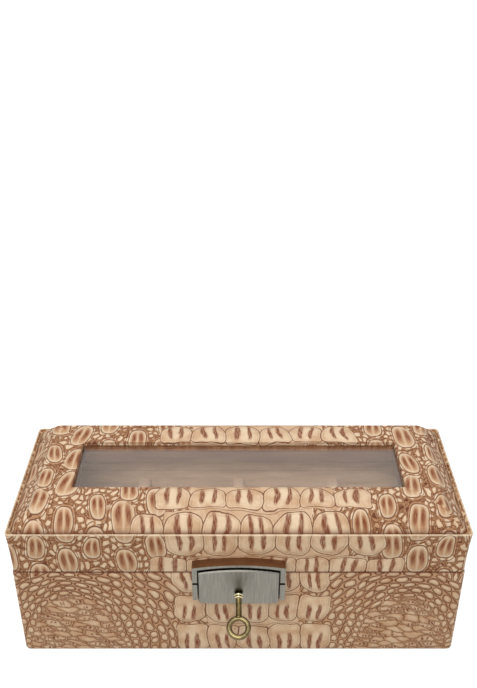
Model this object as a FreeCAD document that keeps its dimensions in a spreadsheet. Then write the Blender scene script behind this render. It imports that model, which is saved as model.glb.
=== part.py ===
# Watch box for four watches: leather over board, a hinged lid with a glass window,
# and a push lock with a key on the front.
# Millimetres. +X is to the right, +Y to the back and +Z up. The origin is the centre of the base,
# on the surface that the box stands on. "Out" means out of the front, which is -Y.
import FreeCAD, Part
import Sketcher
import math
import os
import re

# Driving dimensions: name, value and what it measures
SIZES = [
    ("body_width", 260.0, "body over the leather, left to right"),
    ("body_depth", 100.0, "body over the leather, front to back"),
    ("body_height", 65.0, "surface to the middle of the seam under the lid"),
    ("seam_gap", 0.4, "open seam between body and lid"),
    ("corner_radius", 3.5, "upright corners over the leather"),
    ("leather", 1.0, "leather wrap"),
    ("felt", 0.8, "felt under the base"),
    ("felt_inset", 2.0, "felt edge in from the body's sides"),
    ("board", 7.0, "body wall boards"),
    ("floor_board", 6.0, "floor board"),
    ("base_turn_in", 12.0, "leather turned in under the base"),
    ("lining", 1.6, "suede-covered lining card"),
    ("divider", 8.0, "padded divider thickness"),
    ("divider_drop", 6.5, "seam down to the dividers' tops"),
    ("divider_round", 2.5, "rounding along a divider's top"),
    ("cushion_play", 2.1, "watch cushion's widest point off its bay, all round"),
    ("cushion_drop", 13.3, "seam down to a cushion's crown"),
    ("cushion_seat_gap", 0.3, "air under a cushion"),
    ("cushion_draw_in", 2.5, "how far each cushion side draws in at its foot"),
    ("cushion_crown", 6.0, "rise of the crown above the shoulders"),
    ("cushion_shoulder", 4.0, "slope along the cushion's shoulders"),
    ("lid_inset", 0.4, "lid set back from the body's faces"),
    ("lid_wall", 28.6, "lid wall from the seam to its leather lip"),
    ("lip", 1.2, "leather lip above the lid boards"),
    ("lip_groove", 0.6, "groove between the lip and the top cover"),
    ("lid_board", 6.6, "lid wall boards"),
    ("bevel_rise", 10.4, "from the lip to the flat top"),
    ("bevel_x", 13.8, "bevel at the ends, in plan from the body's face"),
    ("bevel_y", 10.9, "bevel at front and back, in plan from the body's face"),
    ("foam", 0.8, "padding under the top cover"),
    ("window_x", 192.2, "window between its leather edges, left to right"),
    ("window_y", 41.8, "window between its leather edges, front to back"),
    ("recess", 2.8, "glass below the top"),
    ("glass", 2.0, "pane thickness"),
    ("glass_lap", 3.0, "how far the pane reaches under the frame"),
    ("glass_clearance", 0.2, "play round the pane's edge"),
    ("bead", 3.4, "height of the bead below the pane"),
    ("liner_drop", 5.8, "window liner below the top frame"),
    ("hinge_from_end", 50.0, "middle of a hinge from the body's end"),
    ("hinge_length", 32.0, "length of a hinge"),
    ("hinge_leaf_reach", 7.0, "leaf in from the body's back face"),
    ("hinge_leaf", 1.0, "leaf thickness"),
    ("barrel", 2.2, "radius of the hinge barrel"),
    ("barrel_gap", 0.2, "barrel off the body's back face"),
    ("knuckle_gap", 0.15, "side play between knuckles"),
    ("pin", 1.0, "radius of the hinge pin"),
    ("pin_clearance", 0.04, "radial play on the hinge pin"),
    ("shank", 1.0, "radius of every screw's shank"),
    ("screw_head", 1.5, "radius of every screw's head"),
    ("screw_sink", 0.7, "depth of a screw's head"),
    ("screw_length", 7.0, "screw below its head"),
    ("screw_clearance", 0.05, "radial play round a screw"),
    ("hinge_screw_pitch", 18.0, "between the two screws of a leaf"),
    ("lock_width", 52.8, "lock over its cheeks"),
    ("lock_proud", 5.8, "lock out of the body's front face"),
    ("cheek", 2.8, "width of a lock cheek"),
    ("cheek_drop", 15.8, "seam down to the cheeks' lower ends"),
    ("split_drop", 3.0, "seam down to where the lock parts when the lid opens"),
    ("lock_split_gap", 1.5, "gap between the upper and lower cheeks"),
    ("arch_reach", 9.0, "seam up to the arch's outer corners"),
    ("arch_rise", 2.4, "rise of every lock arc from its ends to its middle"),
    ("arch_rim", 1.6, "thickness of the arch's rim"),
    ("arch_plate", 1.0, "sheet behind the arch"),
    ("arch_set", 1.6, "back of the arch's sheet out of the body's front face, with its hooks"),
    ("arch_slot", 2.5, "open slot between the rim and the push plate"),
    ("plate_drop", 19.1, "seam down to the push plate's lower edge"),
    ("plate_clearance", 0.3, "push plate clear of the cheeks"),
    ("plate_depth", 2.8, "depth of the push plate's turned edge"),
    ("plate_sheet", 1.0, "sheet thickness of the push plate"),
    ("plate_corner", 3.0, "rounding of the push plate's lower corners"),
    ("plate_shoulder_round", 1.0, "rounding of the push plate's upper corners"),
    ("plate_edge", 0.7, "bevel round the push plate's front"),
    ("case_flange", 1.0, "flange of the lock case"),
    ("flange_drop", 18.4, "seam down to the flange's lower edge"),
    ("case_wall", 0.8, "wall of the lock case's tray"),
    ("case_margin", 6.1, "cheek to the inside of the tray"),
    ("case_depth", 5.5, "tray behind the body's front face, inside"),
    ("case_screw_margin", 3.3, "cheek to the case screws"),
    ("pocket_clearance", 0.1, "play of the tray in its pocket"),
    ("hook_margin", 3.5, "inside of the tray to the middle of a hook"),
    ("hook_width", 5.0, "width of a hook"),
    ("hook_drop", 15.2, "seam down to the hooks' lower ends"),
    ("hook_window", 3.2, "window in a hook, high and wide"),
    ("yoke_gap", 0.3, "latch yoke behind the hooks"),
    ("yoke_height", 2.4, "height of the yoke's strip"),
    ("yoke_margin", 0.5, "inside of the tray to the yoke's end"),
    ("yoke_post", 8.0, "posts of the yoke from the middle"),
    ("arch_screw_margin", 5.6, "cheek to the arch screws"),
    ("arch_screw_reach", 2.5, "seam up to the arch screws"),
    ("keyhole_drop", 9.7, "seam down to the keyhole"),
    ("key_droop", 22.0, "how far the key hangs below level, in degrees"),
    ("key_shaft", 1.7, "radius of the key's shaft"),
    ("key_clearance", 0.08, "radial play of the key"),
    ("keyhole_play", 0.16, "play of the key in the plate's keyhole"),
    ("key_reach", 20.3, "from the plate to the middle of the key's ring"),
    ("key_inside", 6.9, "key behind the plate's front"),
    ("ring_radius", 5.5, "key ring, to the middle of its wire"),
    ("ring_wire", 1.6, "radius of the key ring's wire"),
    ("collar_start", 1.2, "key collar off the plate"),
    ("collar_band", 0.9, "length of each collar band"),
    ("collar_neck", 0.4, "groove between the bands"),
    ("collar_radius", 2.65, "radius of the key's inner band"),
    ("band_step", 0.24, "outer band's radius under the inner one's"),
    ("bit", 1.2, "thickness of the key's bit"),
    ("bit_reach", 3.1, "bit from the key's axis"),
    ("bit_length", 4.0, "length of the bit"),
    ("drum_radius", 3.5, "key drum"),
    ("drum_start", 2.6, "drum behind the plate's front, along the key"),
    ("drum_length", 4.2, "length of the drum"),
    ("drum_clearance", 0.08, "radial play of the drum"),
    ("boss_wall", 1.1, "wall of the boss that holds the drum"),
    ("crank_radius", 2.5, "crank pin from the key's axis"),
    ("crank_pin", 0.6, "radius of the crank pin"),
    ("crank_reach", 10.4, "crank pin's tip behind the plate's front, along the key"),
    ("crank_window", 3.7, "half width of the hole in the tray behind the crank pin"),
    ("bolt", 1.0, "thickness of the lock bolt"),
    ("bolt_half", 9.0, "half length of the bolt"),
    ("bolt_height", 5.8, "height of the bolt"),
    ("bolt_drop", 10.8, "seam down to the bolt's lower edge"),
    ("bolt_play", 1.2, "bolt off the back of the tray"),
    ("slot_play", 0.25, "play of the crank pin in the bolt's slot, each side"),
    ("slot_below", 1.2, "slot's lower end under the middle of the crank pin's swing"),
    ("spring_strip", 0.4, "thickness of a plate spring"),
    ("spring_width", 2.8, "width of a plate spring"),
    ("spring_margin", 3.8, "cheek to the middle of a plate spring"),
    ("spring_drop", 9.4, "seam down to the springs' middles"),
    ("spring_radius", 6.2, "bow of a plate spring"),
    ("spring_gap", 0.2, "spring off the back of the plate"),
]

# Places worked out from the driving dimensions
PLACES = {
    "half_width": "body_width / 2",
    "half_depth": "body_depth / 2",
    "rim": "body_height - seam_gap / 2",
    "board_low": "felt + leather",
    "board_top": "rim - leather",
    "board_x": "half_width - leather",
    "board_y": "half_depth - leather",
    "inside_x": "board_x - board",
    "inside_y": "board_y - board",
    "room_x": "inside_x - lining",
    "room_y": "inside_y - lining",
    "floor_top": "board_low + floor_board",
    "floor_cloth": "floor_top + lining",
    "bay": "(2 * room_x - 3 * divider) / 4",
    "divider_top": "body_height - divider_drop",
    "cushion_width": "bay - 2 * cushion_play",
    "cushion_depth": "2 * (room_y - cushion_play)",
    "cushion_height": "body_height - cushion_drop - floor_cloth - cushion_seat_gap",
    "lid_foot": "body_height + seam_gap / 2",
    "lid_x": "half_width - lid_inset",
    "lid_y": "half_depth - lid_inset",
    "lid_board_low": "lid_foot + leather",
    "lid_board_x": "lid_x - leather",
    "lid_board_y": "lid_y - leather",
    "lid_inside_x": "lid_board_x - lid_board",
    "lid_inside_y": "lid_board_y - lid_board",
    "lip_top": "body_height + lid_wall",
    "lid_board_top": "lip_top - lip",
    "top": "lip_top + bevel_rise",
    "crown_rise": "top - lid_board_top",
    "crown_x": "lid_board_x - lip_groove",
    "crown_y": "lid_board_y - lip_groove",
    "slope_x": "(crown_x - half_width + bevel_x) / crown_rise",
    "slope_y": "(crown_y - half_depth + bevel_y) / crown_rise",
    "opening_x": "window_x / 2 + leather",
    "opening_y": "window_y / 2 + leather",
    "rebate_x": "opening_x + glass_lap",
    "rebate_y": "opening_y + glass_lap",
    "glass_top": "top - recess",
    "bead_top": "glass_top - glass",
    "bead_low": "bead_top - bead",
    "liner_low": "lid_board_top - liner_drop",
    "hinge_place": "half_width - hinge_from_end",
    "hinge_axis": "half_depth + barrel_gap + barrel",
    "hinge_screw_y": "half_depth - hinge_leaf_reach / 2 - leather",
    "lock_half": "lock_width / 2",
    "lock_front": "half_depth + lock_proud",
    "cheek_in": "lock_half - cheek",
    "cheek_foot": "body_height - cheek_drop",
    "case_inside": "cheek_in - case_margin",
    "case_screw_place": "cheek_in - case_screw_margin",
    "hook_place": "case_inside - hook_margin",
    "yoke_half": "case_inside - yoke_margin",
    "arch_screw_place": "cheek_in - arch_screw_margin",
    "spring_place": "cheek_in - spring_margin",
    "lock_split": "body_height - split_drop",
    "lower_top": "lock_split - lock_split_gap / 2",
    "upper_low": "lock_split + lock_split_gap / 2",
    "arch_shoulder": "body_height + arch_reach",
    "arch_back": "half_depth + arch_set",
    "hook_back": "arch_back - arch_plate",
    "hook_foot": "body_height - hook_drop",
    "arch_screw_height": "body_height + arch_screw_reach",
    "plate_half": "cheek_in - plate_clearance",
    "plate_foot": "body_height - plate_drop",
    "plate_shoulder": "arch_shoulder - arch_rim - arch_slot",
    "plate_back": "lock_front - plate_sheet",
    "tray_low": "cheek_foot - case_wall",
    "case_flange_foot": "body_height - flange_drop",
    "case_screw_height": "case_flange_foot + screw_head + pocket_clearance",
    "yoke_front": "hook_back - yoke_gap",
    "yoke_low": "hook_foot + pocket_clearance",
    "keyhole": "body_height - keyhole_drop",
    "neck_radius": "(collar_radius + key_shaft) / 2",
    "crank": "crank_radius * sqrt(0.5)",
    "bolt_low": "body_height - bolt_drop",
    "bolt_back": "half_depth - case_depth + bolt_play",
    "spring_height": "body_height - spring_drop",
    "slot_middle": "keyhole + (lock_front - bolt_back) * tan(key_droop) - crank_radius",
}

doc = FreeCAD.newDocument("watch_box")
sheet = doc.addObject("Spreadsheet::Sheet", "sizes")
for row, (alias, value, meaning) in enumerate(SIZES, 1):
    sheet.set(f"A{row}", alias)
    sheet.set(f"B{row}", str(value))
    sheet.set(f"C{row}", meaning)
    sheet.setAlias(f"B{row}", alias)
doc.recompute()

ALIASES = {alias for alias, _, _ in SIZES}


def expression(text):
    """The document expression for a formula in the names above."""

    def spell(match):
        word = match.group(0)
        if word in ALIASES:
            return f"sizes.{word}"
        return f"({expression(PLACES[word])})" if word in PLACES else word

    return re.sub(r"[a-z][a-z_]*", spell, text)


def number(text):
    found = sheet.evalExpression(expression(text))
    return float(getattr(found, "Value", found))


def bind(thing, attribute, text):
    thing.setExpression(attribute, expression(text))


def place(thing, x="0", y="0", z="0", tilt="0"):
    """Sets a sub-part down at a point, turned about X by a tilt in degrees."""
    thing.Placement = FreeCAD.Placement(
        FreeCAD.Vector(number(x), number(y), number(z)),
        FreeCAD.Rotation(FreeCAD.Vector(1, 0, 0), number(tilt)),
    )
    for axis, text in zip("xyz", (x, y, z)):
        bind(thing, f"Placement.Base.{axis}", text)
    bind(thing, "Placement.Rotation.Angle", tilt)


# Sketch outlines: each returns a function that draws a closed, fully constrained outline
def fix_point(sketch, edge, end, x, y):
    for kind, text in (("DistanceX", x), ("DistanceY", y)):
        index = sketch.addConstraint(
            Sketcher.Constraint(kind, -1, 1, edge, end, number(text))
        )
        bind(sketch, f"Constraints[{index}]", text)


def polygon(points):
    def draw(sketch):
        first = sketch.GeometryCount
        spots = [FreeCAD.Vector(number(x), number(y), 0) for x, y in points]
        for i, spot in enumerate(spots):
            after = spots[(i + 1) % len(spots)]
            sketch.addGeometry(Part.LineSegment(spot, after), False)
        for i, (x, y) in enumerate(points):
            after = first + (i + 1) % len(points)
            sketch.addConstraint(Sketcher.Constraint("Coincident", first + i, 2, after, 1))
            fix_point(sketch, first + i, 1, x, y)

    return draw


def rectangle(left, right, low, high):
    return polygon([(left, low), (right, low), (right, high), (left, high)])


def centred(half_x, half_y):
    return rectangle(f"-({half_x})", half_x, f"-({half_y})", half_y)


def circle(x, y, radius):
    def draw(sketch):
        middle = FreeCAD.Vector(number(x), number(y), 0)
        ring = Part.Circle(middle, FreeCAD.Vector(0, 0, 1), number(radius))
        edge = sketch.addGeometry(ring, False)
        fix_point(sketch, edge, 3, x, y)
        index = sketch.addConstraint(Sketcher.Constraint("Radius", edge, number(radius)))
        bind(sketch, f"Constraints[{index}]", radius)

    return draw


def rounded(half_x, half_y, radius):
    """A centred rectangle with round corners."""

    def draw(sketch):
        x, y, r = number(half_x), number(half_y), number(radius)
        first = sketch.GeometryCount
        sides = [
            ((r - x, -y), (x - r, -y)),
            ((x, r - y), (x, y - r)),
            ((x - r, y), (r - x, y)),
            ((-x, y - r), (-x, r - y)),
        ]
        signs = [(1, -1), (1, 1), (-1, 1), (-1, -1)]
        for i, (start, end) in enumerate(sides):
            line = Part.LineSegment(FreeCAD.Vector(*start, 0), FreeCAD.Vector(*end, 0))
            sketch.addGeometry(line, False)
            middle = FreeCAD.Vector(signs[i][0] * (x - r), signs[i][1] * (y - r), 0)
            ring = Part.Circle(middle, FreeCAD.Vector(0, 0, 1), r)
            quarter = (i - 1) * math.pi / 2
            sketch.addGeometry(Part.ArcOfCircle(ring, quarter, quarter + math.pi / 2), False)
        for i, (sign_x, sign_y) in enumerate(signs):
            line, arc = first + 2 * i, first + 2 * i + 1
            after = first + (2 * i + 2) % 8
            sketch.addConstraint(Sketcher.Constraint("Tangent", line, 2, arc, 1))
            sketch.addConstraint(Sketcher.Constraint("Tangent", arc, 2, after, 1))
            corner_x = f"{sign_x} * ({half_x} - ({radius}))"
            corner_y = f"{sign_y} * ({half_y} - ({radius}))"
            fix_point(sketch, arc, 3, corner_x, corner_y)
            index = sketch.addConstraint(Sketcher.Constraint("Radius", arc, r))
            bind(sketch, f"Constraints[{index}]", radius)

    return draw


def mitred(half_x, half_y, radius):
    """A centred rectangle whose corners are cut straight, just outside round ones of that radius."""
    x, y, leg = f"({half_x})", f"({half_y})", f"({radius}) * (2 - sqrt(2))"
    points = []
    for sign_x, sign_y, along_first in ((1, -1, True), (1, 1, False), (-1, 1, True), (-1, -1, False)):
        along = (f"{sign_x} * ({x} - {leg})", f"{sign_y} * {y}")
        up = (f"{sign_x} * {x}", f"{sign_y} * ({y} - {leg})")
        points += [along, up] if along_first else [up, along]
    return polygon(points)


def arched(half, low, shoulder, rise):
    """A panel with straight sides and foot and a shallow arc over its top."""

    def draw(sketch):
        x, bottom, side, lift = number(half), number(low), number(shoulder), number(rise)
        radius = (x * x + lift * lift) / (2 * lift)
        middle = FreeCAD.Vector(0, side + lift - radius, 0)
        sweep = math.asin(x / radius)
        first = sketch.GeometryCount
        corners = [(-x, side), (-x, bottom), (x, bottom), (x, side)]
        for start, end in zip(corners, corners[1:]):
            line = Part.LineSegment(FreeCAD.Vector(*start, 0), FreeCAD.Vector(*end, 0))
            sketch.addGeometry(line, False)
        ring = Part.Circle(middle, FreeCAD.Vector(0, 0, 1), radius)
        arc = Part.ArcOfCircle(ring, math.pi / 2 - sweep, math.pi / 2 + sweep)
        sketch.addGeometry(arc, False)
        for i in range(4):
            after = first + (i + 1) % 4
            sketch.addConstraint(Sketcher.Constraint("Coincident", first + i, 2, after, 1))
        fix_point(sketch, first, 1, f"-({half})", shoulder)
        fix_point(sketch, first + 1, 1, f"-({half})", low)
        fix_point(sketch, first + 2, 1, half, low)
        fix_point(sketch, first + 3, 1, half, shoulder)
        index = sketch.addConstraint(Sketcher.Constraint("Radius", first + 3, radius))
        bind(sketch, f"Constraints[{index}]", f"(({half})^2 + ({rise})^2) / (2 * ({rise}))")

    return draw


# Features. A plane is XY, with levels up +Z, XZ, with levels out of the front, or YZ, with levels along +X
def new_body(label, several=False):
    body = doc.addObject("PartDesign::Body", label)
    body.Label = label
    body.AllowCompound = several
    return body


def new_sketch(body, plane, level, outlines):
    sketch = body.newObject("Sketcher::SketchObject", f"{body.Name}_sketch")
    role = f"{plane}_Plane"
    origin_plane = [f for f in body.Origin.OriginFeatures if f.Role == role][0]
    sketch.AttachmentSupport = [(origin_plane, "")]
    sketch.MapMode = "FlatFace"
    bind(sketch, "AttachmentOffset.Base.z", level)
    for outline in outlines:
        outline(sketch)
    return sketch


def pad(body, plane, low, high, *outlines):
    feature = body.newObject("PartDesign::Pad", f"{body.Name}_pad")
    feature.Profile = new_sketch(body, plane, low, outlines)
    bind(feature, "Length", f"({high}) - ({low})")
    body.Tip = feature
    doc.recompute()
    return feature


def cut(body, plane, low, high, *outlines):
    before = body.Shape.Volume
    feature = body.newObject("PartDesign::Pocket", f"{body.Name}_pocket")
    feature.Profile = new_sketch(body, plane, low, outlines)
    feature.Reversed = True
    bind(feature, "Length", f"({high}) - ({low})")
    body.Tip = feature
    doc.recompute()
    if body.Shape.Volume >= before:
        raise RuntimeError(f"a pocket of {body.Label} cuts nothing")
    return feature


def loft(body, sections, cutting=False):
    """A ruled loft through sections, each a level on XY and an outline."""
    kind = "PartDesign::SubtractiveLoft" if cutting else "PartDesign::AdditiveLoft"
    drawn = [new_sketch(body, "XY", level, [outline]) for level, outline in sections]
    feature = body.newObject(kind, f"{body.Name}_loft")
    feature.Profile = drawn[0]
    feature.Sections = drawn[1:]
    feature.Ruled = True
    body.Tip = feature
    doc.recompute()
    return feature


def turn(body, plane, points):
    """Turns an outline about the plane's upright axis."""
    feature = body.newObject("PartDesign::Revolution", f"{body.Name}_turned")
    feature.Profile = new_sketch(body, plane, "0", [polygon(points)])
    feature.ReferenceAxis = (feature.Profile[0], ["V_Axis"])
    feature.Angle = 360.0
    body.Tip = feature
    doc.recompute()
    return feature


def ease_edges(body, size, chosen, kind="Fillet"):
    """Rounds or chamfers the edges of the body's last feature that pass a test of their middle point."""
    tip = body.Tip
    names = []
    for i, edge in enumerate(tip.Shape.Edges, 1):
        if chosen(edge, edge.valueAt((edge.FirstParameter + edge.LastParameter) / 2)):
            names.append(f"Edge{i}")
    feature = body.newObject(f"PartDesign::{kind}", f"{body.Name}_{kind.lower()}")
    feature.Base = (tip, names)
    bind(feature, "Radius" if kind == "Fillet" else "Size", size)
    body.Tip = feature
    doc.recompute()


def runs_along(edge, axis):
    ends = edge.Vertexes
    if len(ends) < 2:
        return False
    way = ends[1].Point - ends[0].Point
    return way.Length > 0 and abs(abs(way.dot(axis)) - way.Length) < 1e-6


UP = FreeCAD.Vector(0, 0, 1)
BACK = FreeCAD.Vector(0, 1, 0)
NEAR = 1e-3


def near(value, text):
    return abs(value - number(text)) < NEAR


# Body: boards, leather and felt
def wall_set(prefix, suffix, low, high, outer_x, outer_y, inner_x, inner_y):
    """Four walls butted at the corners, the front and back ones running full width."""
    walls = {}
    for side, ends in (("front", (f"-({outer_y})", f"-({inner_y})")), ("back", (inner_y, outer_y))):
        walls[side] = new_body(f"{prefix}{side}{suffix}")
        pad(walls[side], "XY", low, high, rectangle(f"-({outer_x})", outer_x, *ends))
    for side, ends in (("left", (f"-({outer_x})", f"-({inner_x})")), ("right", (inner_x, outer_x))):
        walls[side] = new_body(f"{prefix}{side}{suffix}")
        pad(walls[side], "XY", low, high, rectangle(*ends, f"-({inner_y})", inner_y))
    return walls


def mitre_outer_corners(body, outer_x, outer_y, radius):
    ease_edges(
        body,
        f"({radius}) * (2 - sqrt(2))",
        lambda edge, at: runs_along(edge, UP)
        and near(abs(at.x), outer_x)
        and near(abs(at.y), outer_y),
        "Chamfer",
    )


def hinge_spots(reach):
    """The two screw places of each hinge, as expressions along X."""
    spots = []
    for side in (-1, 1):
        for end in (-1, 1):
            spots.append(f"{side} * hinge_place + {end} * {reach}")
    return spots


HINGE_SCREWS = hinge_spots("hinge_screw_pitch / 2")
CASE_SCREWS = [("-case_screw_place", "case_screw_height"), ("case_screw_place", "case_screw_height")]
ARCH_SCREWS = [("-arch_screw_place", "arch_screw_height"), ("arch_screw_place", "arch_screw_height")]
SCREW_HOLE = "shank + screw_clearance"
HEAD_HOLE = "screw_head + screw_clearance"
POCKET = rectangle(
    "-(case_inside + case_wall + pocket_clearance)",
    "case_inside + case_wall + pocket_clearance",
    "tray_low - pocket_clearance",
    "lower_top + pocket_clearance",
)


def hinge_cut_outs():
    half = "hinge_length / 2 + pocket_clearance"
    return [
        rectangle(
            f"{side} * hinge_place - ({half})",
            f"{side} * hinge_place + {half}",
            "half_depth - hinge_leaf_reach - pocket_clearance",
            "half_depth + leather",
        )
        for side in (-1, 1)
    ]


base_felt = new_body("base_felt")
pad(
    base_felt,
    "XY",
    "0",
    "felt",
    rounded("half_width - felt_inset", "half_depth - felt_inset", "corner_radius"),
)

floor_board = new_body("floor_board")
pad(floor_board, "XY", "board_low", "floor_top", centred("inside_x", "inside_y"))

body_boards = wall_set(
    "", "_board", "board_low", "board_top", "board_x", "board_y", "inside_x", "inside_y"
)
for side in ("front", "back"):
    mitre_outer_corners(body_boards[side], "board_x", "board_y", "corner_radius - leather")
cut(
    body_boards["front"],
    "XZ",
    "half_depth - case_depth - case_wall - pocket_clearance",
    "half_depth",
    POCKET,
)
cut(
    body_boards["front"],
    "XZ",
    "half_depth + case_flange - screw_length",
    "half_depth",
    *[circle(x, z, SCREW_HOLE) for x, z in CASE_SCREWS],
)
cut(
    body_boards["back"],
    "XY",
    "rim - screw_length",
    "rim",
    *[circle(x, "hinge_screw_y", SCREW_HOLE) for x in HINGE_SCREWS],
)

body_leather = new_body("body_leather")
pad(body_leather, "XY", "felt", "rim", rounded("half_width", "half_depth", "corner_radius"))
cut(body_leather, "XY", "board_low", "board_top", mitred("board_x", "board_y", "corner_radius - leather"))
cut(body_leather, "XY", "board_top - leather", "rim", centred("inside_x", "inside_y"))
cut(
    body_leather,
    "XY",
    "0",
    "board_low + leather",
    centred("half_width - base_turn_in", "half_depth - base_turn_in"),
)
cut(body_leather, "XZ", "board_y - leather", "half_depth + leather", POCKET)
cut(
    body_leather,
    "XZ",
    "board_y - leather",
    "half_depth + leather",
    *[circle(x, z, SCREW_HOLE) for x, z in CASE_SCREWS],
)
cut(body_leather, "XY", "board_top", "rim", *hinge_cut_outs())

# Inside of the body: lining, dividers and watch cushions
floor_lining = new_body("floor_lining")
pad(floor_lining, "XY", "floor_top", "floor_cloth", centred("inside_x", "inside_y"))
body_linings = wall_set(
    "", "_lining", "floor_cloth", "rim", "inside_x", "inside_y", "room_x", "room_y"
)

for count, label in enumerate(("divider_left", "divider_centre", "divider_right"), -1):
    wall = new_body(label)
    pad(wall, "XY", "floor_cloth", "divider_top", centred("divider / 2", "room_y"))
    ease_edges(
        wall,
        "divider_round",
        lambda edge, at: runs_along(edge, BACK) and near(at.z, "divider_top"),
    )
    place(wall, x=f"{count} * (bay + divider)")


def bulged_side(half, height, crown, draw_in):
    """A cushion's outline: flat foot, sides that swell and draw in, and a crown over the top."""

    def draw(sketch):
        x, top, lift, tuck = number(half), number(height), number(crown), number(draw_in)
        shoulder = top - lift
        points = [(tuck - x, 0), (x - tuck, 0), (x - tuck, shoulder), (tuck - x, shoulder)]
        arcs = [(1, (x, shoulder / 2), 2), (2, (0, top), 3), (3, (-x, shoulder / 2), 0)]
        first = sketch.GeometryCount
        start, end = points[0], points[1]
        foot = Part.LineSegment(FreeCAD.Vector(*start, 0), FreeCAD.Vector(*end, 0))
        sketch.addGeometry(foot, False)
        spans = ((f"{height} - ({crown})", draw_in), (f"2 * ({half} - ({draw_in}))", crown))
        for index, (low, middle, high) in enumerate(arcs):
            spots = [FreeCAD.Vector(*spot, 0) for spot in (points[low], middle, points[high])]
            sketch.addGeometry(Part.Arc(*spots), False)
            chord, rise = spans[index % 2]
            formula = f"(({chord})^2 / 4 + ({rise})^2) / (2 * ({rise}))"
            arc = first + 1 + index
            fixed = sketch.addConstraint(Sketcher.Constraint("Radius", arc, number(formula)))
            bind(sketch, f"Constraints[{fixed}]", formula)
        foot_x, shoulder_z = f"({half} - ({draw_in}))", f"({height} - ({crown}))"
        fix_point(sketch, first, 1, f"-{foot_x}", "0")
        fix_point(sketch, first, 2, foot_x, "0")
        fix_point(sketch, first + 1, 2, foot_x, shoulder_z)
        fix_point(sketch, first + 2, 2, f"-{foot_x}", shoulder_z)
        for i in range(4):
            after = first + (i + 1) % 4
            sketch.addConstraint(Sketcher.Constraint("Coincident", first + i, 2, after, 1))

    return draw


def cushion_shape(name, plane, half, length):
    """The cushion seen from one way, drawn out across the other."""
    form = new_body(name)
    outline = bulged_side(half, "cushion_height", "cushion_crown", "cushion_draw_in")
    pad(form, plane, f"-({length}) / 2", f"{length} / 2", outline)
    ease_edges(
        form,
        "cushion_shoulder",
        lambda edge, at: near(at.z, "cushion_height - cushion_crown"),
        "Chamfer",
    )
    return form


for count in range(4):
    front_view = cushion_shape(f"cushion_front_view_{count}", "XZ", "cushion_width / 2", "cushion_depth")
    side_view = cushion_shape(f"cushion_side_view_{count}", "YZ", "cushion_depth / 2", "cushion_width")
    cushion = doc.addObject("Part::Common", f"watch_cushion_{count + 1}")
    cushion.Label = f"watch_cushion_{count + 1}"
    cushion.Base = front_view
    cushion.Tool = side_view
    place(cushion, x=f"({count} - 1.5) * (bay + divider)", z="floor_cloth + cushion_seat_gap")

# Lid: boards, leather, padded bevelled top and window
lid_boards = wall_set(
    "lid_",
    "_board",
    "lid_board_low",
    "lid_board_top",
    "lid_board_x",
    "lid_board_y",
    "lid_inside_x",
    "lid_inside_y",
)
for side in ("front", "back"):
    mitre_outer_corners(lid_boards[side], "lid_board_x", "lid_board_y", "corner_radius - leather")
cut(
    lid_boards["back"],
    "XY",
    "lid_foot",
    "lid_foot + screw_length",
    *[circle(x, "hinge_screw_y", SCREW_HOLE) for x in HINGE_SCREWS],
)
cut(
    lid_boards["front"],
    "XZ",
    "lid_inside_y + leather",
    "lid_y",
    *[circle(x, z, SCREW_HOLE) for x, z in ARCH_SCREWS],
)

lid_wall_leather = new_body("lid_wall_leather")
pad(lid_wall_leather, "XY", "lid_foot", "lip_top", rounded("lid_x", "lid_y", "corner_radius"))
cut(
    lid_wall_leather,
    "XY",
    "lid_board_low",
    "lip_top + leather",
    mitred("lid_board_x", "lid_board_y", "corner_radius - leather"),
)
cut(
    lid_wall_leather,
    "XY",
    "lid_foot - leather",
    "lid_board_low + leather",
    centred("lid_inside_x", "lid_inside_y"),
)
cut(
    lid_wall_leather,
    "XZ",
    "lid_board_y - leather",
    "lid_y + leather",
    *[circle(x, z, SCREW_HOLE) for x, z in ARCH_SCREWS],
)
cut(lid_wall_leather, "XY", "lid_foot", "lid_board_low", *hinge_cut_outs())


def bevelled(body, under, cutting=False):
    """The lid top's bevelled block, set in by a thickness square to its faces."""
    low_x = f"crown_x - ({under}) * sqrt(1 + slope_x^2)"
    low_y = f"crown_y - ({under}) * sqrt(1 + slope_y^2)"
    high_x = f"{low_x} - slope_x * (crown_rise - ({under}))"
    high_y = f"{low_y} - slope_y * (crown_rise - ({under}))"
    corner = f"corner_radius - ({under})"
    plan = rounded if under == "0" else mitred
    sections = [
        ("lid_board_top", plan(low_x, low_y, corner)),
        (f"top - ({under})", plan(high_x, high_y, corner)),
    ]
    return loft(body, sections, cutting)


WINDOW = centred("window_x / 2", "window_y / 2")
OPENING = centred("opening_x", "opening_y")
REBATE = centred("rebate_x", "rebate_y")
PANE = centred("rebate_x - glass_clearance", "rebate_y - glass_clearance")

lid_top_frame = new_body("lid_top_frame")
bevelled(lid_top_frame, "leather + foam")
cut(lid_top_frame, "XY", "lid_board_top", "top", OPENING)
cut(lid_top_frame, "XY", "lid_board_top", "glass_top", REBATE)

top_padding = new_body("top_padding")
bevelled(top_padding, "leather")
bevelled(top_padding, "leather + foam", cutting=True)
cut(top_padding, "XY", "lid_board_top", "top", OPENING)

lid_top_leather = new_body("lid_top_leather")
bevelled(lid_top_leather, "0")
bevelled(lid_top_leather, "leather", cutting=True)
pad(lid_top_leather, "XY", "glass_top", "top - leather / 2", OPENING)
cut(lid_top_leather, "XY", "glass_top - leather", "top + leather", WINDOW)

window_glass = new_body("window_glass")
pad(window_glass, "XY", "bead_top", "glass_top", PANE)

glass_bead = new_body("glass_bead")
pad(glass_bead, "XY", "bead_low", "bead_top", PANE, OPENING)

window_liner = new_body("window_liner")
pad(window_liner, "XY", "liner_low", "lid_board_top", centred("lid_inside_x", "lid_inside_y"), OPENING)
pad(window_liner, "XY", "lid_board_top", "bead_low", PANE, OPENING)

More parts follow.
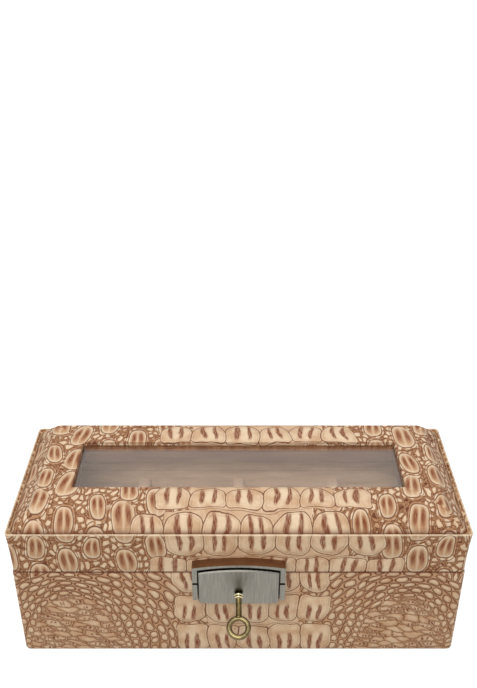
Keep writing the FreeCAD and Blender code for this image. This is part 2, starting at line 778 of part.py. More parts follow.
lid_linings = wall_set(
    "lid_",
    "_lining",
    "lid_foot",
    "liner_low",
    "lid_inside_x",
    "lid_inside_y",
    "lid_inside_x - lining",
    "lid_inside_y - lining",
)

# Hinges: two stop hinges with their leaves in the seam and their barrels behind the body
KNUCKLE_HALF = "hinge_length / 6"


def hinge_leaf(label, side, low, high, middle_knuckle):
    """A leaf with the middle knuckle, or with the two outer ones."""
    leaf = new_body(label)
    half = "hinge_length / 2"
    pad(
        leaf,
        "YZ",
        f"-{half}",
        half,
        rectangle("half_depth - hinge_leaf_reach", "hinge_axis", low, high),
    )
    pad(leaf, "YZ", f"-{half}", half, circle("hinge_axis", "body_height", "barrel"))
    clear = rectangle(
        "hinge_axis - barrel - knuckle_gap",
        "hinge_axis + barrel + knuckle_gap",
        "body_height - barrel - knuckle_gap",
        "body_height + barrel + knuckle_gap",
    )
    if middle_knuckle:
        cut(leaf, "YZ", f"-{half}", f"-({KNUCKLE_HALF} - knuckle_gap)", clear)
        cut(leaf, "YZ", f"{KNUCKLE_HALF} - knuckle_gap", half, clear)
    else:
        cut(leaf, "YZ", f"-({KNUCKLE_HALF})", KNUCKLE_HALF, clear)
    cut(leaf, "YZ", f"-{half}", half, circle("hinge_axis", "body_height", "pin + pin_clearance"))
    screws = ("-hinge_screw_pitch / 2", "hinge_screw_pitch / 2")
    cut(leaf, "XY", low, high, *[circle(x, "hinge_screw_y", HEAD_HOLE) for x in screws])
    place(leaf, x=f"{side} * hinge_place")
    return leaf


for side, name in ((-1, "left"), (1, "right")):
    hinge_leaf(f"hinge_leaf_body_{name}", side, "rim - hinge_leaf", "rim", False)
    hinge_leaf(f"hinge_leaf_lid_{name}", side, "lid_foot", "lid_foot + hinge_leaf", True)
    hinge_pin = new_body(f"hinge_pin_{name}")
    pin = circle("hinge_axis", "body_height", "pin")
    pad(hinge_pin, "YZ", "-hinge_length / 2", "hinge_length / 2", pin)
    place(hinge_pin, x=f"{side} * hinge_place")

hinge_screws_body = new_body("hinge_screws_body", several=True)
pad(
    hinge_screws_body,
    "XY",
    "rim - screw_length",
    "rim",
    *[circle(x, "hinge_screw_y", "shank") for x in HINGE_SCREWS],
)
pad(
    hinge_screws_body,
    "XY",
    "rim - hinge_leaf",
    "rim",
    *[circle(x, "hinge_screw_y", "screw_head") for x in HINGE_SCREWS],
)
hinge_screws_lid = new_body("hinge_screws_lid", several=True)
pad(
    hinge_screws_lid,
    "XY",
    "lid_foot",
    "lid_foot + screw_length",
    *[circle(x, "hinge_screw_y", "shank") for x in HINGE_SCREWS],
)
pad(
    hinge_screws_lid,
    "XY",
    "lid_foot",
    "lid_foot + hinge_leaf",
    *[circle(x, "hinge_screw_y", "screw_head") for x in HINGE_SCREWS],
)

# Lock, upper half: the arch on the lid, with two hooks that hang into the case
lock_arch = new_body("lock_arch")
pad(lock_arch, "XZ", "lid_y", "lock_front", arched("lock_half", "upper_low", "arch_shoulder", "arch_rise"))
cut(
    lock_arch,
    "XZ",
    "arch_back",
    "lock_front",
    arched("cheek_in", "upper_low", "arch_shoulder - arch_rim", "arch_rise"),
)
cut(
    lock_arch,
    "XZ",
    "lid_y",
    "hook_back",
    rectangle("-lock_half", "lock_half", "upper_low", "lid_foot + seam_gap"),
)


def pair(middle, half, low, high):
    """Two rectangles, mirrored about the lock's middle."""
    return [
        rectangle(f"{sign} * ({middle}) - ({half})", f"{sign} * ({middle}) + {half}", low, high)
        for sign in (-1, 1)
    ]


pad(
    lock_arch,
    "XZ",
    "hook_back",
    "arch_back",
    *pair("hook_place", "hook_width / 2", "hook_foot", "upper_low + hook_window"),
)
cut(
    lock_arch,
    "XZ",
    "hook_back",
    "arch_back",
    *pair(
        "hook_place",
        "hook_window / 2",
        "hook_foot + arch_plate",
        "hook_foot + arch_plate + hook_window",
    ),
)
cut(lock_arch, "XZ", "lid_y", "arch_back", *[circle(x, z, SCREW_HOLE) for x, z in ARCH_SCREWS])

arch_screws = new_body("arch_screws", several=True)
pad(
    arch_screws,
    "XZ",
    "lid_inside_y + leather",
    "arch_back",
    *[circle(x, z, "shank") for x, z in ARCH_SCREWS],
)
pad(
    arch_screws,
    "XZ",
    "arch_back",
    "arch_back + screw_sink",
    *[circle(x, z, "screw_head") for x, z in ARCH_SCREWS],
)

# Lock, lower half: the case with its cheeks and the tray sunk in the front board
lock_case = new_body("lock_case")
pad(
    lock_case,
    "XZ",
    "half_depth",
    "half_depth + case_flange",
    rectangle("-lock_half", "lock_half", "cheek_foot", "lower_top"),
)
pad(
    lock_case,
    "XZ",
    "half_depth",
    "half_depth + case_flange",
    rectangle("-plate_half", "plate_half", "case_flange_foot", "cheek_foot + case_wall"),
)
pad(
    lock_case,
    "XZ",
    "half_depth",
    "lock_front",
    *pair("lock_half - cheek / 2", "cheek / 2", "cheek_foot", "lower_top"),
)
pad(
    lock_case,
    "XZ",
    "half_depth - case_depth - case_wall",
    "half_depth + case_flange / 2",
    rectangle("-(case_inside + case_wall)", "case_inside + case_wall", "tray_low", "lower_top"),
)
cut(
    lock_case,
    "XZ",
    "half_depth - case_depth",
    "half_depth + case_flange",
    rectangle("-case_inside", "case_inside", "cheek_foot", "lower_top"),
)
cut(
    lock_case,
    "XZ",
    "half_depth - case_depth - case_wall",
    "half_depth - case_depth",
    rectangle("-crank_window", "crank_window", "bolt_low", "bolt_low + bolt_height"),
)
cut(
    lock_case,
    "XZ",
    "half_depth",
    "half_depth + case_flange",
    *[circle(x, z, SCREW_HOLE) for x, z in CASE_SCREWS],
)

lock_case_screws = new_body("lock_case_screws", several=True)
pad(
    lock_case_screws,
    "XZ",
    "half_depth + case_flange - screw_length",
    "half_depth + case_flange",
    *[circle(x, z, "shank") for x, z in CASE_SCREWS],
)
pad(
    lock_case_screws,
    "XZ",
    "half_depth + case_flange",
    "half_depth + case_flange + screw_sink",
    *[circle(x, z, "screw_head") for x, z in CASE_SCREWS],
)

# Push plate: a shallow pressed pan with a tilted boss behind the keyhole
plate_pan = new_body("plate_pan")
pad(
    plate_pan,
    "XZ",
    "lock_front - plate_depth",
    "lock_front",
    arched("plate_half", "plate_foot", "plate_shoulder", "arch_rise"),
)
ease_edges(
    plate_pan,
    "plate_corner",
    lambda edge, at: runs_along(edge, BACK) and near(at.z, "plate_foot"),
)
ease_edges(
    plate_pan,
    "plate_shoulder_round",
    lambda edge, at: runs_along(edge, BACK) and near(at.z, "plate_shoulder"),
)
ease_edges(plate_pan, "plate_edge", lambda edge, at: near(at.y, "-(lock_front)"), "Chamfer")
cut(
    plate_pan,
    "XZ",
    "lock_front - plate_depth",
    "plate_back",
    arched(
        "plate_half - plate_sheet",
        "plate_foot + plate_corner",
        "plate_shoulder - plate_sheet",
        "arch_rise",
    ),
)


def on_key_axis(thing, along="0", across="0"):
    """Sets a piece on the key's axis. Along is out of the plate, and across is up, square to the key."""
    y = f"-(lock_front) - ({along}) * cos(key_droop) - ({across}) * sin(key_droop)"
    z = f"keyhole - ({along}) * sin(key_droop) + ({across}) * cos(key_droop)"
    place(thing, y=y, z=z, tilt="key_droop")


boss = new_body("boss")
pad(
    boss,
    "XZ",
    "-(drum_start + drum_length / 2)",
    "plate_sheet",
    circle("0", "0", "drum_radius + drum_clearance + boss_wall"),
)
on_key_axis(boss)
outside = new_body("outside")
pad(
    outside,
    "XZ",
    "lock_front - plate_sheet / 2",
    "lock_front + lock_proud",
    rectangle("-plate_half", "plate_half", "plate_foot", "lock_split"),
)
trimmed_boss = doc.addObject("Part::Cut", "trimmed_boss")
trimmed_boss.Base = boss
trimmed_boss.Tool = outside
pan_and_boss = doc.addObject("Part::Fuse", "pan_and_boss")
pan_and_boss.Base = plate_pan
pan_and_boss.Tool = trimmed_boss

keyhole = new_body("keyhole")
pad(
    keyhole,
    "XZ",
    "-(drum_start + drum_length)",
    "collar_radius",
    circle("0", "0", "key_shaft + keyhole_play"),
)
pad(
    keyhole,
    "XZ",
    "-(drum_start)",
    "collar_radius",
    rectangle("-(bit / 2 + keyhole_play)", "bit / 2 + keyhole_play", "-(bit_reach + keyhole_play)", "0"),
)
pad(
    keyhole,
    "XZ",
    "-(drum_start + drum_length)",
    "-(drum_start)",
    circle("0", "0", "drum_radius + drum_clearance"),
)
on_key_axis(keyhole)
push_plate = doc.addObject("Part::Cut", "push_plate")
push_plate.Label = "push_plate"
push_plate.Base = pan_and_boss
push_plate.Tool = keyhole

latch_yoke = new_body("latch_yoke")
pad(
    latch_yoke,
    "XZ",
    "yoke_front - arch_plate",
    "yoke_front",
    rectangle("-yoke_half", "yoke_half", "yoke_low", "yoke_low + yoke_height"),
)
pad(
    latch_yoke,
    "XZ",
    "yoke_front - arch_plate / 2",
    "plate_back",
    *pair("yoke_post", "arch_plate", "yoke_low", "yoke_low + yoke_height"),
)

plate_springs = new_body("plate_springs", several=True)
SPRING_MIDDLE = "-(plate_back - spring_gap - spring_radius)"
for sign in (-1, 1):
    pad(
        plate_springs,
        "YZ",
        f"{sign} * spring_place - spring_width / 2",
        f"{sign} * spring_place + spring_width / 2",
        circle(SPRING_MIDDLE, "spring_height", "spring_radius"),
    )
cut(
    plate_springs,
    "YZ",
    "-lock_half",
    "lock_half",
    circle(SPRING_MIDDLE, "spring_height", "spring_radius - spring_strip"),
)
cut(
    plate_springs,
    "XZ",
    "0",
    "half_depth + case_flange",
    rectangle("-lock_half", "lock_half", "0", "top"),
)

# Key, the drum that it turns, and the bolt that the drum's crank pin throws
key_drum = new_body("key_drum")
pad(key_drum, "XZ", "-(drum_start + drum_length)", "-(drum_start)", circle("0", "0", "drum_radius"))
cut(
    key_drum,
    "XZ",
    "-(drum_start + drum_length)",
    "-(drum_start)",
    circle("0", "0", "key_shaft + key_clearance"),
)
cut(
    key_drum,
    "XZ",
    "-(drum_start + drum_length)",
    "-(drum_start)",
    rectangle("-(bit / 2 + key_clearance)", "bit / 2 + key_clearance", "-(bit_reach + key_clearance)", "0"),
)
pad(
    key_drum,
    "XZ",
    "-(crank_reach)",
    "-(drum_start + drum_length / 2)",
    circle("-(crank)", "-(crank)", "crank_pin"),
)
on_key_axis(key_drum)

lock_bolt = new_body("lock_bolt")
pad(
    lock_bolt,
    "XZ",
    "bolt_back",
    "bolt_back + bolt",
    rectangle("-bolt_half", "bolt_half", "bolt_low", "bolt_low + bolt_height"),
)
cut(
    lock_bolt,
    "XZ",
    "bolt_back",
    "bolt_back + bolt",
    rectangle(
        "-(crank + crank_pin + slot_play)",
        "-(crank - crank_pin - slot_play)",
        "slot_middle - slot_below",
        "bolt_low + bolt_height - bolt",
    ),
)

BAND_TWO = "collar_start + collar_band + collar_neck"
COLLAR_END = f"{BAND_TWO} + collar_band"
SHAFT_END = "key_reach - ring_radius"
key_blank = new_body("key_blank")
turn(
    key_blank,
    "XY",
    [
        ("0", "key_inside"),
        ("key_shaft", "key_inside"),
        ("key_shaft", "-(collar_start)"),
        ("collar_radius", "-(collar_start)"),
        ("collar_radius", "-(collar_start + collar_band)"),
        ("neck_radius", "-(collar_start + collar_band)"),
        ("neck_radius", f"-({BAND_TWO})"),
        ("collar_radius - band_step", f"-({BAND_TWO})"),
        ("collar_radius - band_step", f"-({COLLAR_END})"),
        ("key_shaft", f"-({COLLAR_END})"),
        ("key_shaft", f"-({SHAFT_END})"),
        ("0", f"-({SHAFT_END})"),
    ],
)
pad(
    key_blank,
    "XZ",
    "-(key_inside)",
    "-(key_inside - bit_length)",
    rectangle("-bit / 2", "bit / 2", "-(bit_reach)", "0"),
)
on_key_axis(key_blank)
ring = new_body("ring")
section = [
    (f"ring_radius + ring_wire * cos({angle})", f"ring_wire * sin({angle})")
    for angle in range(30, 390, 60)
]
turn(ring, "XZ", section)
on_key_axis(ring, along="key_reach")
key = doc.addObject("Part::Fuse", "key")
key.Label = "key"
key.Base = key_blank
key.Tool = ring

PARTS = [
    base_felt,
    floor_board,
    body_leather,
    floor_lining,
    *body_boards.values(),
    *body_linings.values(),
    *[doc.getObject(f"divider_{place_name}") for place_name in ("left", "centre", "right")],
    *[doc.getObject(f"watch_cushion_{i}") for i in range(1, 5)],
    *lid_boards.values(),
    lid_wall_leather,
    lid_top_frame,
    top_padding,
    lid_top_leather,
    window_glass,
    glass_bead,
    window_liner,
    *lid_linings.values(),
    *[doc.getObject(f"hinge_leaf_body_{side}") for side in ("left", "right")],
    *[doc.getObject(f"hinge_leaf_lid_{side}") for side in ("left", "right")],
    *[doc.getObject(f"hinge_pin_{side}") for side in ("left", "right")],
    hinge_screws_body,
    hinge_screws_lid,
    lock_arch,
    arch_screws,
    lock_case,
    lock_case_screws,
    push_plate,
    latch_yoke,
    plate_springs,
    key_drum,
    lock_bolt,
    key,
]

doc.recompute()
for thing in doc.Objects:
    if {"Invalid", "Error"} & set(thing.State):
        raise RuntimeError(f"{thing.Name} failed: {thing.State}")
os.makedirs("parts", exist_ok=True)
for part in PARTS:
    if part.Shape.isNull() or not part.Shape.isValid():
        raise RuntimeError(f"{part.Label} has no valid shape")
    part.Shape.exportStep(f"parts/{part.Label}.step")
print(f"{len(PARTS)} sub-parts")
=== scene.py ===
# Watch box for four watches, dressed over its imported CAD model. Metres, except that the hide maps of the
# leather are in millimetres. +X is to the right, -Y is the front and +Z is up.
import math

import bmesh
import bpy
from mathutils import Matrix, Vector, noise


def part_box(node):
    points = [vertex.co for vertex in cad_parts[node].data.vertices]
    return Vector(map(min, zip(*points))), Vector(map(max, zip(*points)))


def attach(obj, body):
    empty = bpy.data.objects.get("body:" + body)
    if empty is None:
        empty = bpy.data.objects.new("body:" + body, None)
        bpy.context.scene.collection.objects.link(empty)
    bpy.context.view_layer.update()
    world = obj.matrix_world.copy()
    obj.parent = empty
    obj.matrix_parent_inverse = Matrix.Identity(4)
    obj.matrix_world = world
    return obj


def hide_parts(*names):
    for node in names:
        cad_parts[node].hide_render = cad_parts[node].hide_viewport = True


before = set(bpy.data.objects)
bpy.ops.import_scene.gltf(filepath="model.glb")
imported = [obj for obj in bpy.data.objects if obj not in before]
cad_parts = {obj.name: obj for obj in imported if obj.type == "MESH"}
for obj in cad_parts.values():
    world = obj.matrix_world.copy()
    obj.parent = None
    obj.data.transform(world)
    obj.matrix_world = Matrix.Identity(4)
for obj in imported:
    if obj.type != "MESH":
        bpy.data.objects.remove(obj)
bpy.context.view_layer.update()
MM = 0.001


# Leather on the body
# Cowhide pressed with a crocodile plate, then rubbed back so that brown stain stays in the grooves. It is
# glued round the boards in one strip, which meets itself at the back, and turned in at the rim and base.
def linear(code):
    """An sRGB hex colour as Blender's linear values."""
    shades = [int(code[i : i + 2], 16) / 255 for i in (1, 3, 5)]
    return (*[s / 12.92 if s <= 0.04045 else ((s + 0.055) / 1.055) ** 2.4 for s in shades], 1.0)


def node(tree, kind, sockets, out=0, **settings):
    """Adds a node, such as "Math ADD", with its settings and links, and gives one of its outputs."""
    kind, _, operation = kind.partition(" ")
    made = tree.nodes.new(f"ShaderNode{kind}")
    if operation:
        made.operation = operation
    for name, value in settings.items():
        setattr(made, name, value)
    pairs = sockets.items() if isinstance(sockets, dict) else enumerate(sockets)
    for key, value in pairs:
        if isinstance(value, bpy.types.NodeSocket):
            tree.links.new(value, made.inputs[key])
        else:
            made.inputs[key].default_value = value
    return made.outputs[out]


def new_material(name):
    """A material with an empty tree but for its output and its shader: gives all three."""
    material = bpy.data.materials.new(name)
    material.use_nodes = True
    tree = material.node_tree
    return material, tree, tree.nodes["Principled BSDF"]


EASED = {"interpolation_type": "SMOOTHSTEP"}
FLAT_CELLS = {"voronoi_dimensions": "2D"}
FLAT_NOISE = {"noise_dimensions": "2D"}
COLOUR = {"out": 2, "data_type": "RGBA"}


def cell_edge(tree, place, scale=1.0, randomness=1.0):
    """How far a point is inside its own cell: nothing on the border, and most in the middle."""
    lay = {"Vector": place, "Scale": scale, "Randomness": randomness}
    near = node(tree, "TexVoronoi", lay, **FLAT_CELLS)
    far = node(tree, "TexVoronoi", lay, feature="F2", **FLAT_CELLS)
    return node(tree, "Math SUBTRACT", [far, near])


def drawn_line(tree, edge, at, full, gone, strength):
    """A groove that follows the places where edge is at, full as near as the one and gone at the other."""
    off = node(tree, "Math SUBTRACT", [edge, at])
    off = node(tree, "Math ABSOLUTE", [off])
    return node(tree, "MapRange", [off, full, gone, strength, 0.0], **EASED)


def rounded_out(tree, across, along, power):
    """How far out a point is in a form squarer than an ellipse, which has its edge at 1."""
    across = node(tree, "Math ABSOLUTE", [across])
    across = node(tree, "Math POWER", [across, power])
    along = node(tree, "Math ABSOLUTE", [along])
    along = node(tree, "Math POWER", [along, power])
    out = node(tree, "Math ADD", [across, along])
    return node(tree, "Math POWER", [out, 1 / power])


def from_middle(tree, place):
    """How far a point is from the middle of its own repeat, from -0.5 to 0.5."""
    place = node(tree, "Math FRACT", [place])
    return node(tree, "Math SUBTRACT", [place, 0.5])


def laid_over(tree, where, under, over):
    """One kind of scale laid over another, in each thing that makes up its look."""
    return {part: node(tree, "Mix", {0: where, 2: under[part], 3: over[part]}) for part in under}


LEATHER_PALE = linear("#DAC0A0")
LEATHER_LIGHT = linear("#E2CDB0")
LEATHER_BEIGE = linear("#C39E7C")
LEATHER_TAN = linear("#A97951")
LEATHER_STREAK = linear("#733618")
LEATHER_GROOVE = linear("#592814")
OVAL_PITCH = (16.5, 24.0)
OVAL_POWER = 2.6
FAN_OUTER = (50.0, 63.0)
FAN_INNER = (27.0, 46.0)
ARCS = 4.2
ARC_BEADS = 6.6
BEAD_POWER = 2.5
LEAF = (8.4, 4.3)
ARCH_CORNER = 8.0
FLAT_CORNER = 3.0


def net_look(tree, spot, pebble):
    """A net of small beads, a little taller than wide. Each has a dark outline of its own, and thin lines
    cross the pale seams between the outlines."""
    net = node(tree, "VectorMath MULTIPLY", [spot, (1 / pebble, 0.8 / pebble, 0.0)])
    edge = cell_edge(tree, net)
    sliver = cell_edge(tree, net, scale=1.7)
    sliver_line = node(tree, "MapRange", [sliver, 0.04, 0.17, 0.75, 0.0], **EASED)
    in_seam = node(tree, "MapRange", [edge, 0.17, 0.24, 1.0, 0.0], **EASED)
    sliver_line = node(tree, "Math MULTIPLY", [sliver_line, in_seam])
    net_line = node(tree, "MapRange", [edge, 0.01, 0.07, 0.8, 0.0], **EASED)
    bead_line = drawn_line(tree, edge, 0.21, 0.02, 0.09, 0.9)
    groove = node(tree, "Math MAXIMUM", [net_line, sliver_line])
    return {
        "groove": node(tree, "Math MAXIMUM", [groove, bead_line]),
        "streak": 0.0,
        "shade": node(tree, "MapRange", [edge, 0.2, 0.48, 0.85, 0.0], **EASED),
        "light": node(tree, "MapRange", [edge, 0.36, 0.58, 0.0, 0.7], **EASED),
        "dome": node(tree, "MapRange", [edge, 0.1, 0.6, 0.0, 0.8], **EASED),
    }


def with_ovals(tree, smooth, net):
    """Tall ovals like coffee beans, 9 to 13 mm wide, in a staggered order through the net. A pale rib runs
    up the middle of each between two long brown hollows, with a pale rim outside them."""
    wide, high = OVAL_PITCH
    set_over = node(tree, "SeparateXYZ", [smooth], out=0)
    set_over = node(tree, "Math MULTIPLY", [set_over, 0.5 / wide])
    set_over = node(tree, "CombineXYZ", [0.0, set_over, 0.0])
    spread = node(tree, "VectorMath MULTIPLY_ADD", [smooth, (1 / wide, 1 / high, 0.0), set_over])
    lay = {"Vector": spread, "Scale": 1.0, "Randomness": 0.24}
    middle = node(tree, "TexVoronoi", lay, out="Position", **FLAT_CELLS)
    lot = node(tree, "TexVoronoi", lay, out="Color", **FLAT_CELLS)
    off = node(tree, "VectorMath SUBTRACT", [spread, middle])
    off_x = node(tree, "SeparateXYZ", [off], out=0)
    off_y = node(tree, "SeparateXYZ", [off], out=1)
    off_y = node(tree, "Math MULTIPLY_ADD", [off_x, -0.5, off_y])
    across = node(tree, "Math MULTIPLY", [off_x, wide])
    along = node(tree, "Math MULTIPLY", [off_y, high])
    lean = node(tree, "SeparateColor", [lot], out=0)
    lean = node(tree, "MapRange", [lean, 0.0, 1.0, -0.14, 0.14])
    across = node(tree, "Math MULTIPLY_ADD", [along, lean, across])
    girth = node(tree, "SeparateColor", [lot], out=1)
    girth = node(tree, "MapRange", [girth, 0.0, 1.0, 4.5, 6.4])
    length = node(tree, "Math MULTIPLY_ADD", [girth, 1.5, 1.4])
    across = node(tree, "Math DIVIDE", [across, girth])
    along = node(tree, "Math DIVIDE", [along, length])
    taper = node(tree, "Math MULTIPLY_ADD", [along, 0.06, 1.0])
    across = node(tree, "Math MULTIPLY", [across, taper])
    oval = rounded_out(tree, across, along, OVAL_POWER)
    edge = node(tree, "Math SUBTRACT", [oval, 1.0])
    edge = node(tree, "Math MULTIPLY", [edge, girth])
    in_oval = node(tree, "MapRange", [edge, -0.1, 0.2, 1.0, 0.0], **EASED)
    oval_line = drawn_line(tree, edge, 0.0, 0.1, 0.42, 0.85)
    collar = drawn_line(tree, edge, 1.3, 0.06, 0.34, 0.8)
    around = node(tree, "MapRange", [edge, 0.4, 1.3, 0.0, 1.0], **EASED)
    around = node(tree, "Math MULTIPLY", [around, net["groove"]])
    around = node(tree, "Math MAXIMUM", [around, collar])

    off_rib = node(tree, "Math ABSOLUTE", [across])
    hollow_at = node(tree, "MapRange", [along, -1.0, 1.0, 0.48, 0.36])
    hollow = node(tree, "Math SUBTRACT", [off_rib, hollow_at])
    hollow = node(tree, "Math DIVIDE", [hollow, 0.3])
    lower = node(tree, "Math SUBTRACT", [along, 0.06])
    lower = node(tree, "Math DIVIDE", [lower, 0.76])
    hollow = node(tree, "CombineXYZ", [hollow, lower, 0.0])
    hollow = node(tree, "VectorMath LENGTH", [hollow], out="Value")
    hollow = node(tree, "MapRange", [hollow, 0.4, 1.05, 1.0, 0.0], **EASED)
    darker = node(tree, "MapRange", [along, -0.75, 0.15, 0.35, 1.0], **EASED)
    crown = node(tree, "MapRange", [edge, -2.4, 0.0, 1.2, 0.0], **EASED)
    rib = node(tree, "MapRange", [off_rib, 0.04, 0.16, 0.7, 0.0], **EASED)
    pale_rim = node(tree, "MapRange", [oval, 0.76, 0.9, 0.0, 0.6], **EASED)
    ovals = {
        "groove": 0.0,
        "streak": node(tree, "Math MULTIPLY", [hollow, darker]),
        "shade": node(tree, "MapRange", [oval, 0.5, 0.95, 0.75, 0.15], **EASED),
        "light": node(tree, "Math MAXIMUM", [rib, pale_rim]),
        "dome": node(tree, "Math MULTIPLY_ADD", [hollow, -0.6, crown]),
    }
    look = laid_over(tree, in_oval, {**net, "groove": around}, ovals)
    look["groove"] = node(tree, "Math MAXIMUM", [look["groove"], oval_line])
    return look


def with_fans(tree, calm, spot, look, fans):
    """Fans laid over the net: arcs of oval beads, each arc between two long dark lines, round a field of flat
    little scales. An arc is 4 mm deep at the top of a fan and 5.5 at its sides."""
    aside = node(tree, "SeparateXYZ", [calm], out=0)
    aside = node(tree, "Math ABSOLUTE", [aside])
    aside = node(tree, "Math SUBTRACT", [aside, fans])
    low = node(tree, "SeparateXYZ", [calm], out=1)
    fan = node(tree, "CombineXYZ", [aside, low, 0.0])
    reach = node(tree, "VectorMath LENGTH", [fan], out="Value")
    outer = node(tree, "VectorMath MULTIPLY", [fan, (1 / FAN_OUTER[0], 1 / FAN_OUTER[1], 0.0)])
    outer = node(tree, "VectorMath LENGTH", [outer], out="Value")
    inner = node(tree, "VectorMath MULTIPLY", [fan, (1 / FAN_INNER[0], 1 / FAN_INNER[1], 0.0)])
    inner = node(tree, "VectorMath LENGTH", [inner], out="Value")
    past = node(tree, "Math SUBTRACT", [inner, 1.0])
    past = node(tree, "Math MULTIPLY", [past, outer])
    depth = node(tree, "Math SUBTRACT", [inner, outer])
    depth = node(tree, "Math MAXIMUM", [depth, 0.01])
    ring = node(tree, "Math DIVIDE", [past, depth])
    depth = node(tree, "Math DIVIDE", [depth, outer])
    depth = node(tree, "Math DIVIDE", [depth, inner])
    depth = node(tree, "Math MULTIPLY", [depth, reach])
    depth = node(tree, "Math DIVIDE", [depth, ARCS])
    arc_place = node(tree, "Math MULTIPLY", [ring, ARCS])
    arc = node(tree, "Math FLOOR", [arc_place])
    in_arc = from_middle(tree, arc_place)
    in_arc = node(tree, "Math ABSOLUTE", [in_arc])
    arc_edge = node(tree, "Math SUBTRACT", [0.5, in_arc])
    arc_edge = node(tree, "Math MULTIPLY", [arc_edge, depth])
    in_arc = node(tree, "Math MULTIPLY", [in_arc, depth])

    shift = node(tree, "Math MULTIPLY", [arc, 0.62])
    bearing = node(tree, "Math ARCTAN2", [aside, low])
    bearing = node(tree, "Math MULTIPLY_ADD", [bearing, ARC_BEADS, shift])
    bead = node(tree, "Math FLOOR", [bearing])
    bead_lot = node(tree, "CombineXYZ", [bead, arc, 0.0])
    bead_lot = node(tree, "TexWhiteNoise", {"Vector": bead_lot}, **FLAT_NOISE)
    bead_off = node(tree, "MapRange", [bead_lot, 0.0, 1.0, -0.07, 0.07])
    bead_long = node(tree, "Math DIVIDE", [reach, ARC_BEADS])
    in_bead = from_middle(tree, bearing)
    in_bead = node(tree, "Math ADD", [in_bead, bead_off])
    in_bead = node(tree, "Math MULTIPLY", [in_bead, bead_long])
    half_long = node(tree, "MapRange", [bead_lot, 0.0, 1.0, 0.38, 0.45])
    half_long = node(tree, "Math MULTIPLY", [half_long, bead_long])
    half_deep = node(tree, "Math MULTIPLY", [depth, 0.36])
    part_long = node(tree, "Math DIVIDE", [in_bead, half_long])
    part_deep = node(tree, "Math DIVIDE", [in_arc, half_deep])
    bead_edge = rounded_out(tree, part_long, part_deep, BEAD_POWER)
    bead_edge = node(tree, "Math SUBTRACT", [bead_edge, 1.0])
    bead_edge = node(tree, "Math MULTIPLY", [bead_edge, half_deep])
    bead_line = drawn_line(tree, bead_edge, 0.0, 0.08, 0.34, 0.85)
    arc_line = node(tree, "MapRange", [arc_edge, 0.12, 0.42, 0.9, 0.0], **EASED)
    arcs = {
        "groove": node(tree, "Math MAXIMUM", [bead_line, arc_line]),
        "streak": 0.0,
        "shade": node(tree, "MapRange", [bead_edge, -1.2, 0.0, 0.05, 0.65], **EASED),
        "light": node(tree, "MapRange", [bead_edge, -1.3, -0.3, 0.3, 0.0], **EASED),
        "dome": node(tree, "MapRange", [bead_edge, -1.4, 0.3, 0.9, 0.0], **EASED),
    }

    # About half of the field's scales have two pin marks, and those have an outline inside their edge
    leaf = node(tree, "VectorMath MULTIPLY", [spot, (1 / LEAF[0], 1 / LEAF[1], 0.0)])
    leaf_over = node(tree, "SeparateXYZ", [leaf], out=1)
    leaf_over = node(tree, "Math MULTIPLY", [leaf_over, 0.5])
    leaf_over = node(tree, "CombineXYZ", [leaf_over, 0.0, 0.0])
    leaf = node(tree, "VectorMath ADD", [leaf, leaf_over])
    lay = {"Vector": leaf, "Scale": 1.0, "Randomness": 0.75}
    leaf_lot = node(tree, "TexVoronoi", lay, out="Color", **FLAT_CELLS)
    leaf_lot = node(tree, "SeparateColor", [leaf_lot], out=0)
    pinned = node(tree, "Math GREATER_THAN", [leaf_lot, 0.45])
    leaf_edge = cell_edge(tree, leaf, randomness=0.75)
    leaf_line = node(tree, "MapRange", [leaf_edge, 0.02, 0.13, 0.75, 0.0], **EASED)
    leaf_ring = drawn_line(tree, leaf_edge, 0.3, 0.03, 0.11, 0.6)
    leaf_ring = node(tree, "Math MULTIPLY", [leaf_ring, pinned])
    leaf_middle = node(tree, "TexVoronoi", lay, out="Position", **FLAT_CELLS)
    pin = node(tree, "VectorMath SUBTRACT", [leaf, leaf_middle])
    pin_x = node(tree, "SeparateXYZ", [pin], out=0)
    pin_y = node(tree, "SeparateXYZ", [pin], out=1)
    pin_x = node(tree, "Math MULTIPLY_ADD", [pin_y, -0.5, pin_x])
    pin_x = node(tree, "Math ABSOLUTE", [pin_x])
    pin_x = node(tree, "Math MULTIPLY_ADD", [pin_x, LEAF[0], -0.95])
    pin_y = node(tree, "Math MULTIPLY", [pin_y, 2.5])
    pin = node(tree, "CombineXYZ", [pin_x, pin_y, 0.0])
    pin = node(tree, "VectorMath LENGTH", [pin], out="Value")
    pin = node(tree, "MapRange", [pin, 0.3, 0.85, 1.0, 0.0], **EASED)
    field = {
        "groove": node(tree, "Math MAXIMUM", [leaf_line, leaf_ring]),
        "streak": node(tree, "Math MULTIPLY", [pin, pinned]),
        "shade": node(tree, "MapRange", [leaf_edge, 0.1, 0.55, 0.7, 0.15], **EASED),
        "light": 0.0,
        "dome": node(tree, "MapRange", [leaf_edge, 0.0, 0.5, 0.0, 0.6], **EASED),
    }
    in_field = node(tree, "Math LESS_THAN", [ring, 0.0])
    near_fan = node(tree, "Math LESS_THAN", [ring, 1.22])
    toward_belly = node(tree, "Math LESS_THAN", [aside, 0.0])
    in_fan = node(tree, "Math MAXIMUM", [near_fan, toward_belly])
    return laid_over(tree, in_fan, look, laid_over(tree, in_field, arcs, field))


